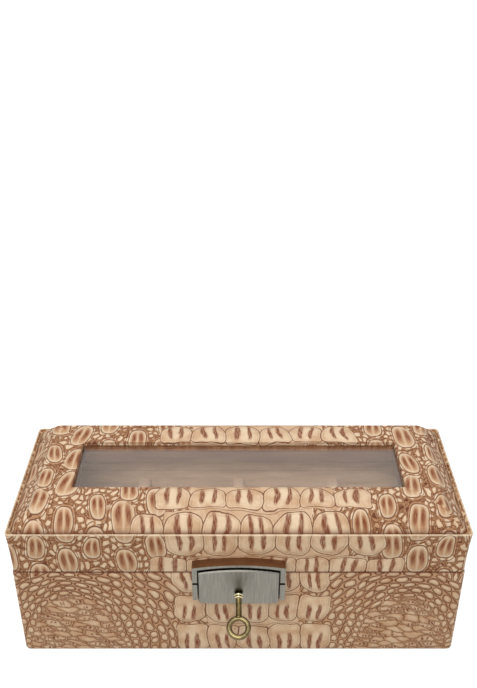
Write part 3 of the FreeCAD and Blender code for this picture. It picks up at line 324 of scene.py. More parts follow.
def with_belly(tree, calm, look, belly, rows):
    """Rows of wide belly scales with round corners and two long streaks, and a thin fold between rows."""
    scale_width, pitch, row_start, row_over, streak_at, arched = rows
    belly_middle = (belly[0] + belly[1]) / 2
    belly_half = (belly[1] - belly[0]) / 2
    half_high = pitch / 2 - 1.3
    along = node(tree, "SeparateXYZ", [calm], out=0)
    up = node(tree, "SeparateXYZ", [calm], out=1)
    row = node(tree, "Math SUBTRACT", [up, row_start])
    row = node(tree, "Math DIVIDE", [row, pitch])
    over = node(tree, "Math FLOOR", [row])
    over = node(tree, "Math MULTIPLY", [over, row_over])
    in_row = from_middle(tree, row)
    in_row = node(tree, "Math MULTIPLY", [in_row, pitch])
    place = node(tree, "Math DIVIDE", [along, scale_width])
    place = node(tree, "Math ADD", [place, over])
    in_column = from_middle(tree, place)
    in_column = node(tree, "Math MULTIPLY", [in_column, scale_width])
    column = node(tree, "Math FLOOR", [place])
    column = node(tree, "Math ADD", [column, 0.5])
    column = node(tree, "Math SUBTRACT", [column, over])
    column = node(tree, "Math MULTIPLY", [column, scale_width])
    from_belly = node(tree, "Math SUBTRACT", [column, belly_middle])
    from_belly = node(tree, "Math ABSOLUTE", [from_belly])
    in_belly = node(tree, "Math LESS_THAN", [from_belly, belly_half])
    inner_scale = node(tree, "Math LESS_THAN", [from_belly, belly_half - scale_width])

    side = node(tree, "Math ABSOLUTE", [in_column])
    rise = node(tree, "Math ABSOLUTE", [in_row])
    at_arch = node(tree, "Math MULTIPLY", [in_row, arched])
    at_arch = node(tree, "Math GREATER_THAN", [at_arch, 0.0])
    corner = node(tree, "MapRange", [at_arch, 0.0, 1.0, FLAT_CORNER, ARCH_CORNER])
    side_past = node(tree, "Math ADD", [side, corner])
    side_past = node(tree, "Math SUBTRACT", [side_past, scale_width / 2])
    side_past = node(tree, "Math MAXIMUM", [side_past, 0.0])
    rise_past = node(tree, "Math ADD", [rise, corner])
    rise_past = node(tree, "Math SUBTRACT", [rise_past, half_high])
    rise_past = node(tree, "Math MAXIMUM", [rise_past, 0.0])
    past = node(tree, "CombineXYZ", [side_past, rise_past, 0.0])
    edge = node(tree, "VectorMath LENGTH", [past], out="Value")
    edge = node(tree, "Math SUBTRACT", [edge, corner])
    outline = drawn_line(tree, edge, 0.0, 0.12, 0.42, 0.9)
    echo = drawn_line(tree, edge, -1.5, 0.1, 0.5, 0.16)
    row_line = node(tree, "Math SUBTRACT", [pitch / 2, rise])
    row_line = node(tree, "MapRange", [row_line, 0.05, 0.35, 0.6, 0.0], **EASED)
    outline = node(tree, "Math MAXIMUM", [outline, row_line])

    slant = node(tree, "TexWhiteNoise", {"W": column}, noise_dimensions="1D")
    slant = node(tree, "MapRange", [slant, 0.0, 1.0, -0.09, 0.09])
    streak_side = node(tree, "Math MULTIPLY_ADD", [slant, in_row, in_column])
    streak_side = node(tree, "Math ABSOLUTE", [streak_side])
    rib = node(tree, "MapRange", [streak_side, 0.6, 2.4, 0.8, 0.0], **EASED)
    streak_side = node(tree, "Math SUBTRACT", [streak_side, scale_width * 0.16])
    streak_side = node(tree, "Math ABSOLUTE", [streak_side])
    streak_far = node(tree, "Math SUBTRACT", [in_row, streak_at])
    streak_far = node(tree, "Math ABSOLUTE", [streak_far])
    streak_taper = node(tree, "MapRange", [streak_far, 0.0, 8.0, 1.1, 0.6])
    streak_side = node(tree, "Math DIVIDE", [streak_side, streak_taper])
    streak = node(tree, "MapRange", [streak_side, 0.8, 1.9, 1.0, 0.0], **EASED)
    streak_end = node(tree, "MapRange", [streak_far, 4.6, 8.6, 1.0, 0.0], **EASED)
    scales = {
        "groove": node(tree, "Math MAXIMUM", [outline, echo]),
        "streak": node(tree, "Math MULTIPLY", [streak, streak_end]),
        "shade": node(tree, "MapRange", [edge, -1.5, 0.8, 0.0, 0.2], **EASED),
        "light": node(tree, "Math MULTIPLY", [rib, streak_end]),
        "dome": node(tree, "MapRange", [edge, -3.4, 0.0, 1.1, 0.0], **EASED),
    }
    # The scales at the two ends of a row keep to their own outline, and the net comes up to it
    own_outline = node(tree, "Math LESS_THAN", [edge, 0.35])
    own_outline = node(tree, "Math MAXIMUM", [own_outline, inner_scale])
    in_belly = node(tree, "Math MULTIPLY", [in_belly, own_outline])
    return laid_over(tree, in_belly, look, scales)


def crocodile_leather(name, pebble, belly, rows, fans=None):
    """Pressed leather. pebble is the size of its small beads, and belly is where its rows of wide scales
    start and end along the hide. rows is the scales' width, the rows' pitch, the height where a row starts,
    how far each row is set over, where the streaks are in a scale, and 1 or -1 for scales arched at the top
    or foot. fans is how far along the hide the middle of each fan is."""
    material, tree, shader = new_material(name)
    hide = node(tree, "UVMap", {}, uv_map="hide")
    # The plate's scales are hand cut, so every line wanders by about a millimetre
    slow = node(tree, "TexNoise", {"Vector": hide, "Scale": 0.05, "Detail": 1.0}, out=1, **FLAT_NOISE)
    slow = node(tree, "VectorMath SUBTRACT", [slow, (0.5, 0.5, 0.5)])
    quick = node(tree, "TexNoise", {"Vector": hide, "Scale": 0.3, "Detail": 1.0}, out=1, **FLAT_NOISE)
    quick = node(tree, "VectorMath SUBTRACT", [quick, (0.5, 0.5, 0.5)])
    smooth = node(tree, "VectorMath MULTIPLY_ADD", [slow, (3.0, 3.0, 3.0), hide])
    wander = node(tree, "VectorMath MULTIPLY_ADD", [slow, (6.0, 6.0, 6.0), hide])
    calm = node(tree, "VectorMath MULTIPLY_ADD", [quick, (0.7, 0.7, 0.7), wander])
    spot = node(tree, "VectorMath MULTIPLY_ADD", [quick, (1.8, 1.8, 1.8), wander])
    look = with_ovals(tree, smooth, net_look(tree, spot, pebble))
    if fans is not None:
        look = with_fans(tree, calm, spot, look, fans)
    look = with_belly(tree, calm, look, belly, rows)

    # Stain lies in fine upright scratches on each scale, about 0.4 mm apart, and in patches 10 mm across
    brushing = node(tree, "VectorMath MULTIPLY", [hide, (2.4, 0.22, 0.0)])
    brushing = node(tree, "TexNoise", {"Vector": brushing, "Scale": 1.0, "Detail": 2.0}, **FLAT_NOISE)
    brushed = node(tree, "MapRange", [brushing, 0.36, 0.58, 0.55, 1.0])
    streak = node(tree, "Math MULTIPLY", [look["streak"], brushed])
    clouds = node(tree, "TexNoise", {"Vector": hide, "Scale": 0.1, "Detail": 4.0}, **FLAT_NOISE)
    clouds = node(tree, "MapRange", [clouds, 0.38, 0.66, 0.0, 0.75])
    scratches = node(tree, "MapRange", [brushing, 0.3, 0.75, 0.0, 0.4])
    clouds = node(tree, "Math ADD", [clouds, scratches], use_clamp=True)
    light = node(tree, "Math MULTIPLY", [look["light"], 0.6])
    # Painted light per point of the skin: pale for a painted highlight where a fold catches light, together
    # with rubbing, and dark for painted shade in seams and recesses
    painted_light_and_rub = node(tree, "Attribute", {}, out="Fac", attribute_name="painted_light_and_rub")
    rub_and_painted_highlight = node(tree, "MapRange", [painted_light_and_rub, 0.0, 1.0, 0.0, 0.6])
    painted_shade = node(tree, "MapRange", [painted_light_and_rub, 0.0, -1.0, 0.0, 0.85])
    colour = LEATHER_PALE
    for amount, stain in (
        (clouds, LEATHER_BEIGE),
        (look["shade"], LEATHER_TAN),
        (light, LEATHER_LIGHT),
        (streak, LEATHER_STREAK),
        (look["groove"], LEATHER_GROOVE),
        (rub_and_painted_highlight, LEATHER_LIGHT),
        (painted_shade, LEATHER_GROOVE),
    ):
        colour = node(tree, "Mix", {0: amount, 6: colour, 7: stain}, **COLOUR)
    tree.links.new(colour, shader.inputs["Base Color"])

    # Relief: domed scales about 0.5 mm high, with hair pores over all, drawn 0.6 mm apart so that they show
    pores = node(tree, "TexNoise", {"Vector": hide, "Scale": 1.6, "Detail": 2.0}, **FLAT_NOISE)
    relief = node(tree, "Math MULTIPLY_ADD", [pores, 0.12, look["dome"]])
    bump = node(tree, "Bump", {"Strength": 0.7, "Distance": 0.55 * MM, "Height": relief})
    tree.links.new(bump, shader.inputs["Normal"])
    rough = node(tree, "MapRange", [look["groove"], 0.0, 1.0, 0.5, 0.75])
    tree.links.new(rough, shader.inputs["Roughness"])
    shader.inputs["Specular IOR Level"].default_value = 0.2
    return material


HALF_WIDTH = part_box("body_leather")[1].x
HALF_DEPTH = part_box("body_leather")[1].y
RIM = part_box("body_leather")[1].z
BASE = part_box("body_leather")[0].z
CORNER = 3.5 * MM
ARC_STEPS = 6
STEPS_X = 44
STEPS_Y = 18
PUFF_WIDTH = 14 * MM


def ring_points(half_x, half_y, radius):
    """Points round a rectangle with round corners, from the middle of the back by way of the left side,
    each with the side that it is on."""
    points = []
    half_steps = STEPS_X // 2
    for i in range(half_steps):
        points.append((-i / half_steps * (half_x - radius), half_y, "back"))
    corners = [(-1, 1, 90, "left"), (-1, -1, 180, "front"), (1, -1, 270, "right"), (1, 1, 0, "back")]
    for sign_x, sign_y, start, side in corners:
        before = points[-1][2]
        middle_x, middle_y = sign_x * (half_x - radius), sign_y * (half_y - radius)
        for i in range(ARC_STEPS + 1):
            angle = math.radians(start + 90 * i / ARC_STEPS)
            face = before if i < ARC_STEPS / 2 else side
            points.append((middle_x + radius * math.cos(angle), middle_y + radius * math.sin(angle), face))
        if side == "left":
            run = [(-half_x, (half_y - radius) * (1 - 2 * i / STEPS_Y)) for i in range(1, STEPS_Y)]
        elif side == "front":
            run = [((half_x - radius) * (2 * i / STEPS_X - 1), -half_y) for i in range(1, STEPS_X)]
        elif side == "right":
            run = [(half_x, (half_y - radius) * (2 * i / STEPS_Y - 1)) for i in range(1, STEPS_Y)]
        else:
            run = [((half_x - radius) * (1 - i / half_steps), half_y) for i in range(1, half_steps)]
        points += [(x, y, side) for x, y in run]
    return points


def add_object(name, data):
    """A new object of the scene with this mesh, lamp or camera."""
    thing = bpy.data.objects.new(name, data)
    bpy.context.scene.collection.objects.link(thing)
    return thing


def finished(mesh, name):
    """The mesh that was being edited, as one that an object can have."""
    data = bpy.data.meshes.new(name)
    mesh.to_mesh(data)
    mesh.free()
    return data


def ringed_leather(name, rings, hide_of, wobble, painted_light_and_rub):
    """A skin through rings of (half x, half y, radius, z, *hide). hide_of gives a point's place on the hide,
    and the last argument is each ring's painted light: above zero how pale it is painted, as a painted
    highlight and rubbing, and below zero how dark, as painted shade."""
    mesh = bmesh.new()
    hide = mesh.loops.layers.uv.new("hide")
    worn = mesh.verts.layers.float.new("painted_light_and_rub")
    rows = []
    for index, ring in enumerate(rings):
        half_x, half_y, radius, z = ring[:4]
        points = ring_points(half_x, half_y, radius)
        row = []
        for x, y, _ in points:
            spot = Vector((x, y, z))
            puff = noise.noise(spot / PUFF_WIDTH) * wobble
            out = Vector((x / half_x, y / half_y, 0)).normalized()
            row.append(mesh.verts.new(spot + out * puff))
            row[-1][worn] = painted_light_and_rub.get(index, 0.0)
        rows.append((ring, points, row))
    for (low_ring, low_points, low), (high_ring, high_points, high) in zip(rows, rows[1:]):
        for i in range(len(low)):
            after = (i + 1) % len(low)
            closing = after == 0
            face = mesh.faces.new((low[i], low[after], high[after], high[i]))
            face.smooth = True
            side = "back" if closing else low_points[after][2]
            spots = [
                hide_of(*low_points[i][:2], side, low_ring, False),
                hide_of(*low_points[after][:2], side, low_ring, closing),
                hide_of(*high_points[after][:2], side, high_ring, closing),
                hide_of(*high_points[i][:2], side, high_ring, False),
            ]
            for loop, spot in zip(face.loops, spots):
                loop[hide].uv = spot
    return add_object(name, finished(mesh, name))


def on_strip(x, y, side, ring, closing):
    """Where a point of a strip is on the hide: how far along from the middle of the front, and how high."""
    if side == "front":
        along = x
    elif side == "right":
        along = HALF_WIDTH + HALF_DEPTH + y
    elif side == "left":
        along = -(HALF_WIDTH + HALF_DEPTH + y)
    else:
        ends = 2 * HALF_WIDTH + 2 * HALF_DEPTH
        along = ends - x if x > 0 or closing else -ends - x
    return along / MM, ring[4] / MM


def folded(radius, angles):
    """(in, down) from the corner of a fold, at each of these angles round it."""
    turns = [math.radians(angle) for angle in angles]
    return [(radius * (1 - math.cos(turn)), radius * (1 - math.sin(turn))) for turn in turns]


UP_AND_OUT = (90, 60, 30, 0)
UP_AND_IN = (0, 30, 60, 90)
SEAM_EASE = 0.06 * MM
RIM_ROUND = 1.2 * MM
BASE_ROUND = 0.8 * MM
BASE_TURN_IN = 12 * MM
RIM_TURN_IN = 8 * MM
TURN_IN_CORNER = 2 * MM
PAST_RIM = (0.5 * MM, 1.2 * MM)
WALL_STEPS = 12


def body_rings():
    """Rings of the strip, from its turn-in under the base, up the outside and over the rim."""
    high = RIM - SEAM_EASE
    under_x, under_y = HALF_WIDTH - BASE_TURN_IN, HALF_DEPTH - BASE_TURN_IN
    rings = [(under_x, under_y, TURN_IN_CORNER, BASE, BASE - BASE_TURN_IN)]
    for sink, rise in folded(BASE_ROUND, UP_AND_OUT):
        rings.append((HALF_WIDTH - sink, HALF_DEPTH - sink, CORNER, BASE + rise, BASE + rise))
    for i in range(1, WALL_STEPS):
        z = BASE + BASE_ROUND + (high - BASE - BASE_ROUND - RIM_ROUND) * i / WALL_STEPS
        rings.append((HALF_WIDTH, HALF_DEPTH, CORNER, z, z))
    for sink, fall in folded(RIM_ROUND, UP_AND_IN):
        rings.append((HALF_WIDTH - sink, HALF_DEPTH - sink, CORNER, high - fall, high - fall))
    for past in PAST_RIM:
        sink = RIM_ROUND + past
        rings.append((HALF_WIDTH - sink, HALF_DEPTH - sink, CORNER, high, high + past))
    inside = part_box("floor_board")[1]
    rings.append((inside.x, inside.y, TURN_IN_CORNER, high, high + RIM_TURN_IN))
    return rings


POCKET_X = 18.4 * MM
POCKET_LOW = 48.3 * MM
POCKET_TOP = 61.35 * MM


def cut_for_lock(data):
    """Cuts the opening in the front of the strip that the tray of the lock sits in."""
    mesh = bmesh.new()
    mesh.from_mesh(data)
    for x, z, normal in (
        (-POCKET_X, 0, (1, 0, 0)),
        (POCKET_X, 0, (1, 0, 0)),
        (0, POCKET_LOW, (0, 0, 1)),
        (0, POCKET_TOP, (0, 0, 1)),
    ):
        pieces = mesh.verts[:] + mesh.edges[:] + mesh.faces[:]
        bmesh.ops.bisect_plane(mesh, geom=pieces, plane_co=(x, 0, z), plane_no=normal, dist=0.001 * MM)
    opening = []
    for face in mesh.faces:
        x, y, z = face.calc_center_median()
        if y < MM - HALF_DEPTH and abs(x) < POCKET_X and POCKET_LOW < z < POCKET_TOP:
            opening.append(face)
    bmesh.ops.delete(mesh, geom=opening, context="FACES")
    mesh.to_mesh(data)
    mesh.free()


# Painted shade along the rim, in the fold and just past it, where the gap under the lid lies in shadow
RIM_PAINTED_SHADE = {17: -0.3, 18: -0.9, 19: -1.0, 20: -0.7}
body_wrap = ringed_leather("body_wrap", body_rings(), on_strip, 0.08 * MM, RIM_PAINTED_SHADE)
cut_for_lock(body_wrap.data)
body_hide = crocodile_leather(
    "crocodile_pressed_body", 5.0, (-31.0, 47.0), (18.4, 25.5, -2.7, 0.06, -2.5, -1), fans=97.0
)
body_wrap.data.materials.append(body_hide)
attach(body_wrap, "box")
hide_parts("body_leather")


# Leather on the lid's walls
# A second strip of the same leather. Its upper edge stands free as a thin lip round the padded top, and its
# lower edge is turned in over the boards.
LID_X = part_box("lid_wall_leather")[1].x
LID_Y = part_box("lid_wall_leather")[1].y
LID_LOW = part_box("lid_wall_leather")[0].z
LIP_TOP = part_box("lid_wall_leather")[1].z
LID_INSIDE_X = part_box("window_liner")[1].x
LID_INSIDE_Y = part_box("window_liner")[1].y
BOARD_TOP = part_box("lid_front_board")[1].z
LEATHER = 1.0 * MM
LID_EASE = 0.4 * MM
LID_FLARE = 0.9 * MM
FLARE_IN_Y = 0.4
LID_STEPS = 8
FLARE_FULL = 8.3
LID_TURN_IN = 7 * MM
LID_UNDER = 2 * MM
UNDER_LIP = 0.5 * MM
LIP_TUCK = 2 * MM
INSIDE_CORNER = 1 * MM


def lid_wall_rings():
    """Rings of the strip, from its turn-in inside, under the walls, up the outside and over the lip."""
    seam = LID_LOW + SEAM_EASE
    rings = [
        (LID_INSIDE_X, LID_INSIDE_Y, INSIDE_CORNER, LID_LOW + LEATHER, LID_LOW - LID_TURN_IN - LEATHER),
        (LID_INSIDE_X, LID_INSIDE_Y, INSIDE_CORNER, seam, LID_LOW - LID_TURN_IN),
        (LID_X - LID_UNDER, LID_Y - LID_UNDER, CORNER, seam, LID_LOW - LID_UNDER),
    ]
    for sink, rise in folded(LID_EASE, UP_AND_OUT):
        rings.append((LID_X - sink, LID_Y - sink, CORNER, seam + rise, LID_LOW + rise))
    lip = LEATHER / 2
    under_lip = LIP_TOP - lip - UNDER_LIP
    for i in range(1, LID_STEPS + 1):
        z = LID_LOW + LID_EASE + (under_lip - LID_LOW - LID_EASE) * i / LID_STEPS
        flare = LID_FLARE * (i / FLARE_FULL) ** 2
        rings.append((LID_X + flare, LID_Y + flare * FLARE_IN_Y, CORNER - flare, z, z))
    for sink, fall in folded(lip, range(0, 181, 30)):
        half_x, half_y = LID_X + LID_FLARE - sink, LID_Y + LID_FLARE * FLARE_IN_Y - sink
        rings.append((half_x, half_y, CORNER - LID_FLARE - sink, LIP_TOP - fall, LIP_TOP - fall + sink))
    rings.append((LID_X - LEATHER, LID_Y - LEATHER, CORNER - LEATHER, BOARD_TOP, LIP_TOP + LIP_TUCK))
    return rings


# The lip is painted pale, as a painted highlight where its fold catches light and as rubbing, and painted
# shade darkens the lower edge, at the gap over the body
LID_PAINTED_LIGHT = {3: -0.7, **{ring: 1.0 for ring in range(15, 21)}}
lid_wrap = ringed_leather("lid_wrap", lid_wall_rings(), on_strip, 0.07 * MM, LID_PAINTED_LIGHT)
lid_hide = crocodile_leather(
    "crocodile_pressed_lid", 4.2, (-48.0, 86.0), (20.5, 19.5, 77.5, 0.55, 2.0, -1)
)
lid_wrap.data.materials.append(lid_hide)
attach(lid_wrap, "lid")
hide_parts("lid_wall_leather")


# Padded top cover
# Leather drawn over thin foam on a bevelled frame, so its ridge is soft. It is folded down inside the window
# to the glass, and mitred at its corners.
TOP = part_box("lid_top_leather")[1].z
COVER_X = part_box("lid_top_leather")[1].x
COVER_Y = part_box("lid_top_leather")[1].y
RIDGE_X = HALF_WIDTH - 13.8 * MM
RIDGE_Y = HALF_DEPTH - 10.9 * MM
RIDGE_ROUND = 2.6 * MM
BULGE = 0.35 * MM
BEVEL_STEPS = 7
RIDGE_STEPS = 6
WINDOW_X = 96.1 * MM
WINDOW_Y = 20.9 * MM
WINDOW_ROUND = 0.9 * MM
WINDOW_CORNER = 1 * MM
FOLD_MIDDLE = 1.8 * MM
GLASS_CLEAR = 0.05 * MM
GLASS_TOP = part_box("window_glass")[1].z


def cover_rings():
    """Rings of the cover from its foot behind the lip, over the ridge and down to the glass, each with how
    far out its ends and its front are on the hide."""
    rise = TOP - BOARD_TOP
    tilt_x, tilt_y = math.atan2(rise, COVER_X - RIDGE_X), math.atan2(rise, COVER_Y - RIDGE_Y)
    slope_x, slope_y = math.hypot(rise, COVER_X - RIDGE_X), math.hypot(rise, COVER_Y - RIDGE_Y)
    trim_x, trim_y = RIDGE_ROUND * math.tan(tilt_x / 2), RIDGE_ROUND * math.tan(tilt_y / 2)
    rings = []
    for i in range(BEVEL_STEPS + 1):
        share = i / BEVEL_STEPS
        along_x, along_y = (slope_x - trim_x) * share, (slope_y - trim_y) * share
        bulge = BULGE * math.sin(math.pi * share)
        half_x = COVER_X - along_x * math.cos(tilt_x) + bulge * math.sin(tilt_x)
        half_y = COVER_Y - along_y * math.cos(tilt_y) + bulge * math.sin(tilt_y)
        z = BOARD_TOP + along_x * math.sin(tilt_x) + bulge * 0.5
        z = min(z, TOP - RIDGE_ROUND * (1 - math.cos(tilt_x)))
        hide_x, hide_y = RIDGE_X + slope_x - along_x, RIDGE_Y + slope_y - along_y
        rings.append((half_x, half_y, CORNER, z, hide_x, hide_y))
    for i in range(1, RIDGE_STEPS + 1):
        share = i / RIDGE_STEPS
        angle_x, angle_y = tilt_x * (1 - share), tilt_y * (1 - share)
        half_x = RIDGE_X - trim_x + RIDGE_ROUND * math.sin(angle_x)
        half_y = RIDGE_Y - trim_y + RIDGE_ROUND * math.sin(angle_y)
        z = TOP - RIDGE_ROUND * (1 - math.cos(angle_x))
        hide_x, hide_y = RIDGE_X + trim_x * (1 - 2 * share), RIDGE_Y + trim_y * (1 - 2 * share)
        rings.append((half_x, half_y, CORNER, z, hide_x, hide_y))
    start_x, start_y = rings[-1][:2]
    for i in range(1, RIDGE_STEPS):
        share = i / RIDGE_STEPS
        half_x = start_x + (WINDOW_X + WINDOW_ROUND - start_x) * share
        half_y = start_y + (WINDOW_Y + WINDOW_ROUND - start_y) * share
        rings.append((half_x, half_y, CORNER * (1 - share) + WINDOW_CORNER, TOP, half_x, half_y))
    for fall, out in folded(WINDOW_ROUND, UP_AND_IN):
        half_x, half_y = WINDOW_X + out, WINDOW_Y + out
        rings.append((half_x, half_y, WINDOW_CORNER, TOP - fall, half_x, half_y))
    for z in (TOP - FOLD_MIDDLE, GLASS_TOP + GLASS_CLEAR):
        deep = TOP - WINDOW_ROUND - z
        rings.append((WINDOW_X, WINDOW_Y, WINDOW_CORNER, z, WINDOW_X - deep, WINDOW_Y - deep))
    return rings


def on_cover(x, y, side, ring, closing):
    """Where a point of the cover is on the hide, which is unfolded from the flat of the top."""
    hide_x, hide_y = ring[4] / MM, ring[5] / MM
    places = {
        "front": (x / MM, -hide_y),
        "back": (x / MM, hide_y),
        "left": (-hide_x, y / MM),
        "right": (hide_x, y / MM),
    }
    return places[side]


# Painted shade along the foot behind the lip, along the fold into the window and down at the glass
COVER_PAINTED_SHADE = {0: -1.0, 1: -0.3, 21: -1.0, 24: -1.0}
top_cover = ringed_leather("top_cover", cover_rings(), on_cover, 0.1 * MM, COVER_PAINTED_SHADE)
cover_hide = crocodile_leather(
    "crocodile_pressed_top", 3.7, (-57.0, 69.0), (20.5, 20.0, -61.0, 0.35, 1.5, 1)
)
top_cover.data.materials.append(cover_hide)
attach(top_cover, "lid")
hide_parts("lid_top_leather", "top_padding")


# Boards and felt, which hardly show
# Medium-density fibreboard, sawn and glued: fine, even and dull, with a faint fleck about 1 mm across. The
# felt under the base is pressed wool, matt and dark. Its hairs are drawn in tufts 1.4 mm across, to show.
def dress(name, material):
    """Gives one of the CAD model's own pieces its finish."""
    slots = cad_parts[name].data.materials
    slots.clear()
    slots.append(material)


board_material, board_tree, board_shader = new_material("fibreboard")
board_place = node(board_tree, "TexCoord", {}, out="Object")
fleck = node(board_tree, "TexNoise", {"Vector": board_place, "Scale": 900.0, "Detail": 3.0})
fleck = node(board_tree, "MapRange", [fleck, 0.35, 0.65, 0.0, 1.0])
fibre = node(board_tree, "Mix", {0: fleck, 6: linear("#A98863"), 7: linear("#8C6D4C")}, **COLOUR)
board_tree.links.new(fibre, board_shader.inputs["Base Color"])
board_shader.inputs["Roughness"].default_value = 0.9
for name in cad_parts:
    if name.endswith("_board") or name == "lid_top_frame":
        dress(name, board_material)

felt_material, felt_tree, felt_shader = new_material("wool_felt")
felt_place = node(felt_tree, "TexCoord", {}, out="Object")
hairs = node(felt_tree, "TexNoise", {"Vector": felt_place, "Scale": 700.0, "Detail": 5.0, "Roughness": 0.7})
hair_tone = node(felt_tree, "Mix", {0: hairs, 6: linear("#4A382B"), 7: linear("#6B5442")}, **COLOUR)
felt_tree.links.new(hair_tone, felt_shader.inputs["Base Color"])
felt_bump = node(felt_tree, "Bump", {"Strength": 0.5, "Distance": 0.3 * MM, "Height": hairs})
felt_tree.links.new(felt_bump, felt_shader.inputs["Normal"])
felt_shader.inputs["Roughness"].default_value = 0.95
dress("base_felt", felt_material)


# Suede lining
# Microfibre suede glued over card on the walls, floor, dividers and window liner. Its nap is brushed one way,
# so it shows streaks and patches where it lies differently. The nap is drawn 0.7 mm across, to show at all.
def suede(name, dark, light, lie_scale=(35.0, 35.0, 260.0), sheen=0.1):
    """Suede whose nap lies in patches: lie_scale is how many there are to a metre, in x, y and z."""
    material, tree, shader = new_material(name)
    place = node(tree, "TexCoord", {}, out="Object")
    lie = node(tree, "VectorMath MULTIPLY", [place, lie_scale])
    lie = node(tree, "TexNoise", {"Vector": lie, "Scale": 1.0, "Detail": 3.0, "Roughness": 0.6})
    nap = node(tree, "TexNoise", {"Vector": place, "Scale": 1500.0, "Detail": 3.0})
    tone = node(tree, "Math MULTIPLY_ADD", [nap, 0.45, lie])
    tone = node(tree, "MapRange", [tone, 0.45, 0.95, 0.0, 1.0])
    colour = node(tree, "Mix", {0: tone, 6: linear(dark), 7: linear(light)}, **COLOUR)
    tree.links.new(colour, shader.inputs["Base Color"])
    bump = node(tree, "Bump", {"Strength": 0.35, "Distance": 0.2 * MM, "Height": nap})
    tree.links.new(bump, shader.inputs["Normal"])
    shader.inputs["Roughness"].default_value = 0.95
    shader.inputs["Sheen Weight"].default_value = sheen
    shader.inputs["Sheen Roughness"].default_value = 0.5
    return material


suede_material = suede("microfibre_suede", "#B8967A", "#DABB9E")
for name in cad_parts:
    if "lining" in name or name.startswith("divider"):
        dress(name, suede_material)
dress("window_liner", suede("brown_suede", "#664936", "#84654C", sheen=0.0))


# Watch cushions
# Foam blocks wrapped round in cream microfibre, with an end panel let in at each side and one sewn seam round
# it. They are a little full, so the faces crown and the edges stay soft. Each lies loose in its bay.
CUSHION_GAP = 0.4 * MM
BLANK_IN = Vector((3.4, 3.0, 3.0)) * MM
BLANK_CUTS = 11
BLANK_POWER = 6
FILL_MOST = 6 * MM
FILL_STEPS = 20
CLOTH_FACE = 3.2 * MM
SEAM_IN = 5.0 * MM
SEAM_WIDTH = 1.3 * MM
SEAM_DEEP = 1.3 * MM
CREASE_DEEP = 0.9 * MM
CREASE_TURNS = 5.5
CREASE_LENGTH = 22 * MM
SLACK = 0.35 * MM
SLACK_WIDTH = 13 * MM


def pillow_blank(size):
    """The cushion before it is filled: a rounded block of small faces, a little under its half size."""
    start = size - BLANK_IN
    mesh = bmesh.new()
    bmesh.ops.create_cube(mesh, size=2.0)
    bmesh.ops.subdivide_edges(mesh, edges=mesh.edges[:], cuts=BLANK_CUTS, use_grid_fill=True)
    for vert in mesh.verts:
        x, y, z = vert.co / sum(abs(part) ** BLANK_POWER for part in vert.co) ** (1 / BLANK_POWER)
        vert.co = (x * start.x, y * start.y, z * start.z)
    return finished(mesh, "pillow_blank")


def as_it_looks(thing):
    """A new mesh of an object as its modifiers leave it, which are then taken off."""
    view = bpy.context.evaluated_depsgraph_get()
    data = bpy.data.meshes.new_from_object(thing.evaluated_get(view))
    thing.modifiers.clear()
    return data


def filled(blank):
    """The blank blown up as cloth under pressure, with finer faces."""
    soft = add_object("pillow_soft", blank)
    remesh = soft.modifiers.new("even_faces", "REMESH")
    remesh.mode = "VOXEL"
    remesh.voxel_size = CLOTH_FACE
    blown = as_it_looks(soft)
    soft.data = blown
    before = [vert.co.copy() for vert in blown.vertices]
    cloth = soft.modifiers.new("cover_cloth", "CLOTH")
    cloth.settings.use_pressure = True
    cloth.settings.uniform_pressure_force = 4.0
    cloth.settings.effector_weights.gravity = 0.0
    cloth.settings.quality = 6
    cloth.point_cache.frame_start = 1
    cloth.point_cache.frame_end = FILL_STEPS
    for step in range(1, FILL_STEPS + 1):
        bpy.context.scene.frame_set(step)
    blown = as_it_looks(soft)
    bpy.context.scene.frame_set(1)
    for vert, start in zip(blown.vertices, before):
        move = vert.co - start
        if move.length > FILL_MOST:
            vert.co = start + move.normalized() * FILL_MOST
    soft.data = blown
    soft.modifiers.new("finer", "SUBSURF").levels = 1
    finer = as_it_looks(soft)
    bpy.data.objects.remove(soft)
    return finer


first_low, first_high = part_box("watch_cushion_1")
first_half = (first_high - first_low) / 2
pillow = filled(pillow_blank(first_half))
cushion_half = first_half - Vector((CUSHION_GAP,) * 3)
reach = [max(abs(vert.co[i]) for vert in pillow.vertices) for i in range(3)]
for vert in pillow.vertices:
    spot = Vector(vert.co[i] / reach[i] * cushion_half[i] for i in range(3))
    # The seam round each end panel draws the cover in, and creases run out from it, 4 to 8 mm apart
    from_seam = (abs(spot.x) - (cushion_half.x - SEAM_IN)) / SEAM_WIDTH
    drawn = SEAM_DEEP * math.exp(-from_seam * from_seam)
    around = math.atan2(spot.z / cushion_half.z, spot.y / cushion_half.y)
    turn_x, turn_y = math.cos(around) * CREASE_TURNS, math.sin(around) * CREASE_TURNS
    creases = Vector((turn_x, turn_y, spot.x / CREASE_LENGTH))
    crease = abs(noise.noise(creases))
    crease = CREASE_DEEP * max(0.35 - crease, 0) * math.exp(-abs(from_seam) / 5)
    slack = SLACK * abs(noise.noise(spot / SLACK_WIDTH))
    vert.co = spot - Vector((0, spot.y, spot.z)).normalized() * (drawn + crease + slack)

cushion_suede = suede("cream_microfibre", "#C2B096", "#E6DAC6", (90.0, 90.0, 90.0))
for number in (1, 2, 3, 4):
    low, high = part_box(f"watch_cushion_{number}")
    cover = pillow.copy()
    cover.polygons.foreach_set("use_smooth", [True] * len(cover.polygons))
    cushion = add_object(f"cushion_{number}_cover", cover)
    # Each lies its own way up, so that their small creases differ
    turned = Matrix.Rotation(math.pi * (number % 2), 4, "Z")
    turned = turned @ Matrix.Rotation(math.pi * (number > 2), 4, "X")
    cover.transform(Matrix.Translation((low + high) / 2) @ turned)
    rounded = cushion.modifiers.new("rounded", "SUBSURF")
    rounded.levels = 1
    rounded.render_levels = 1
    cover.materials.append(cushion_suede)
    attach(cushion, f"cushion_{number}")
    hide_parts(f"watch_cushion_{number}")


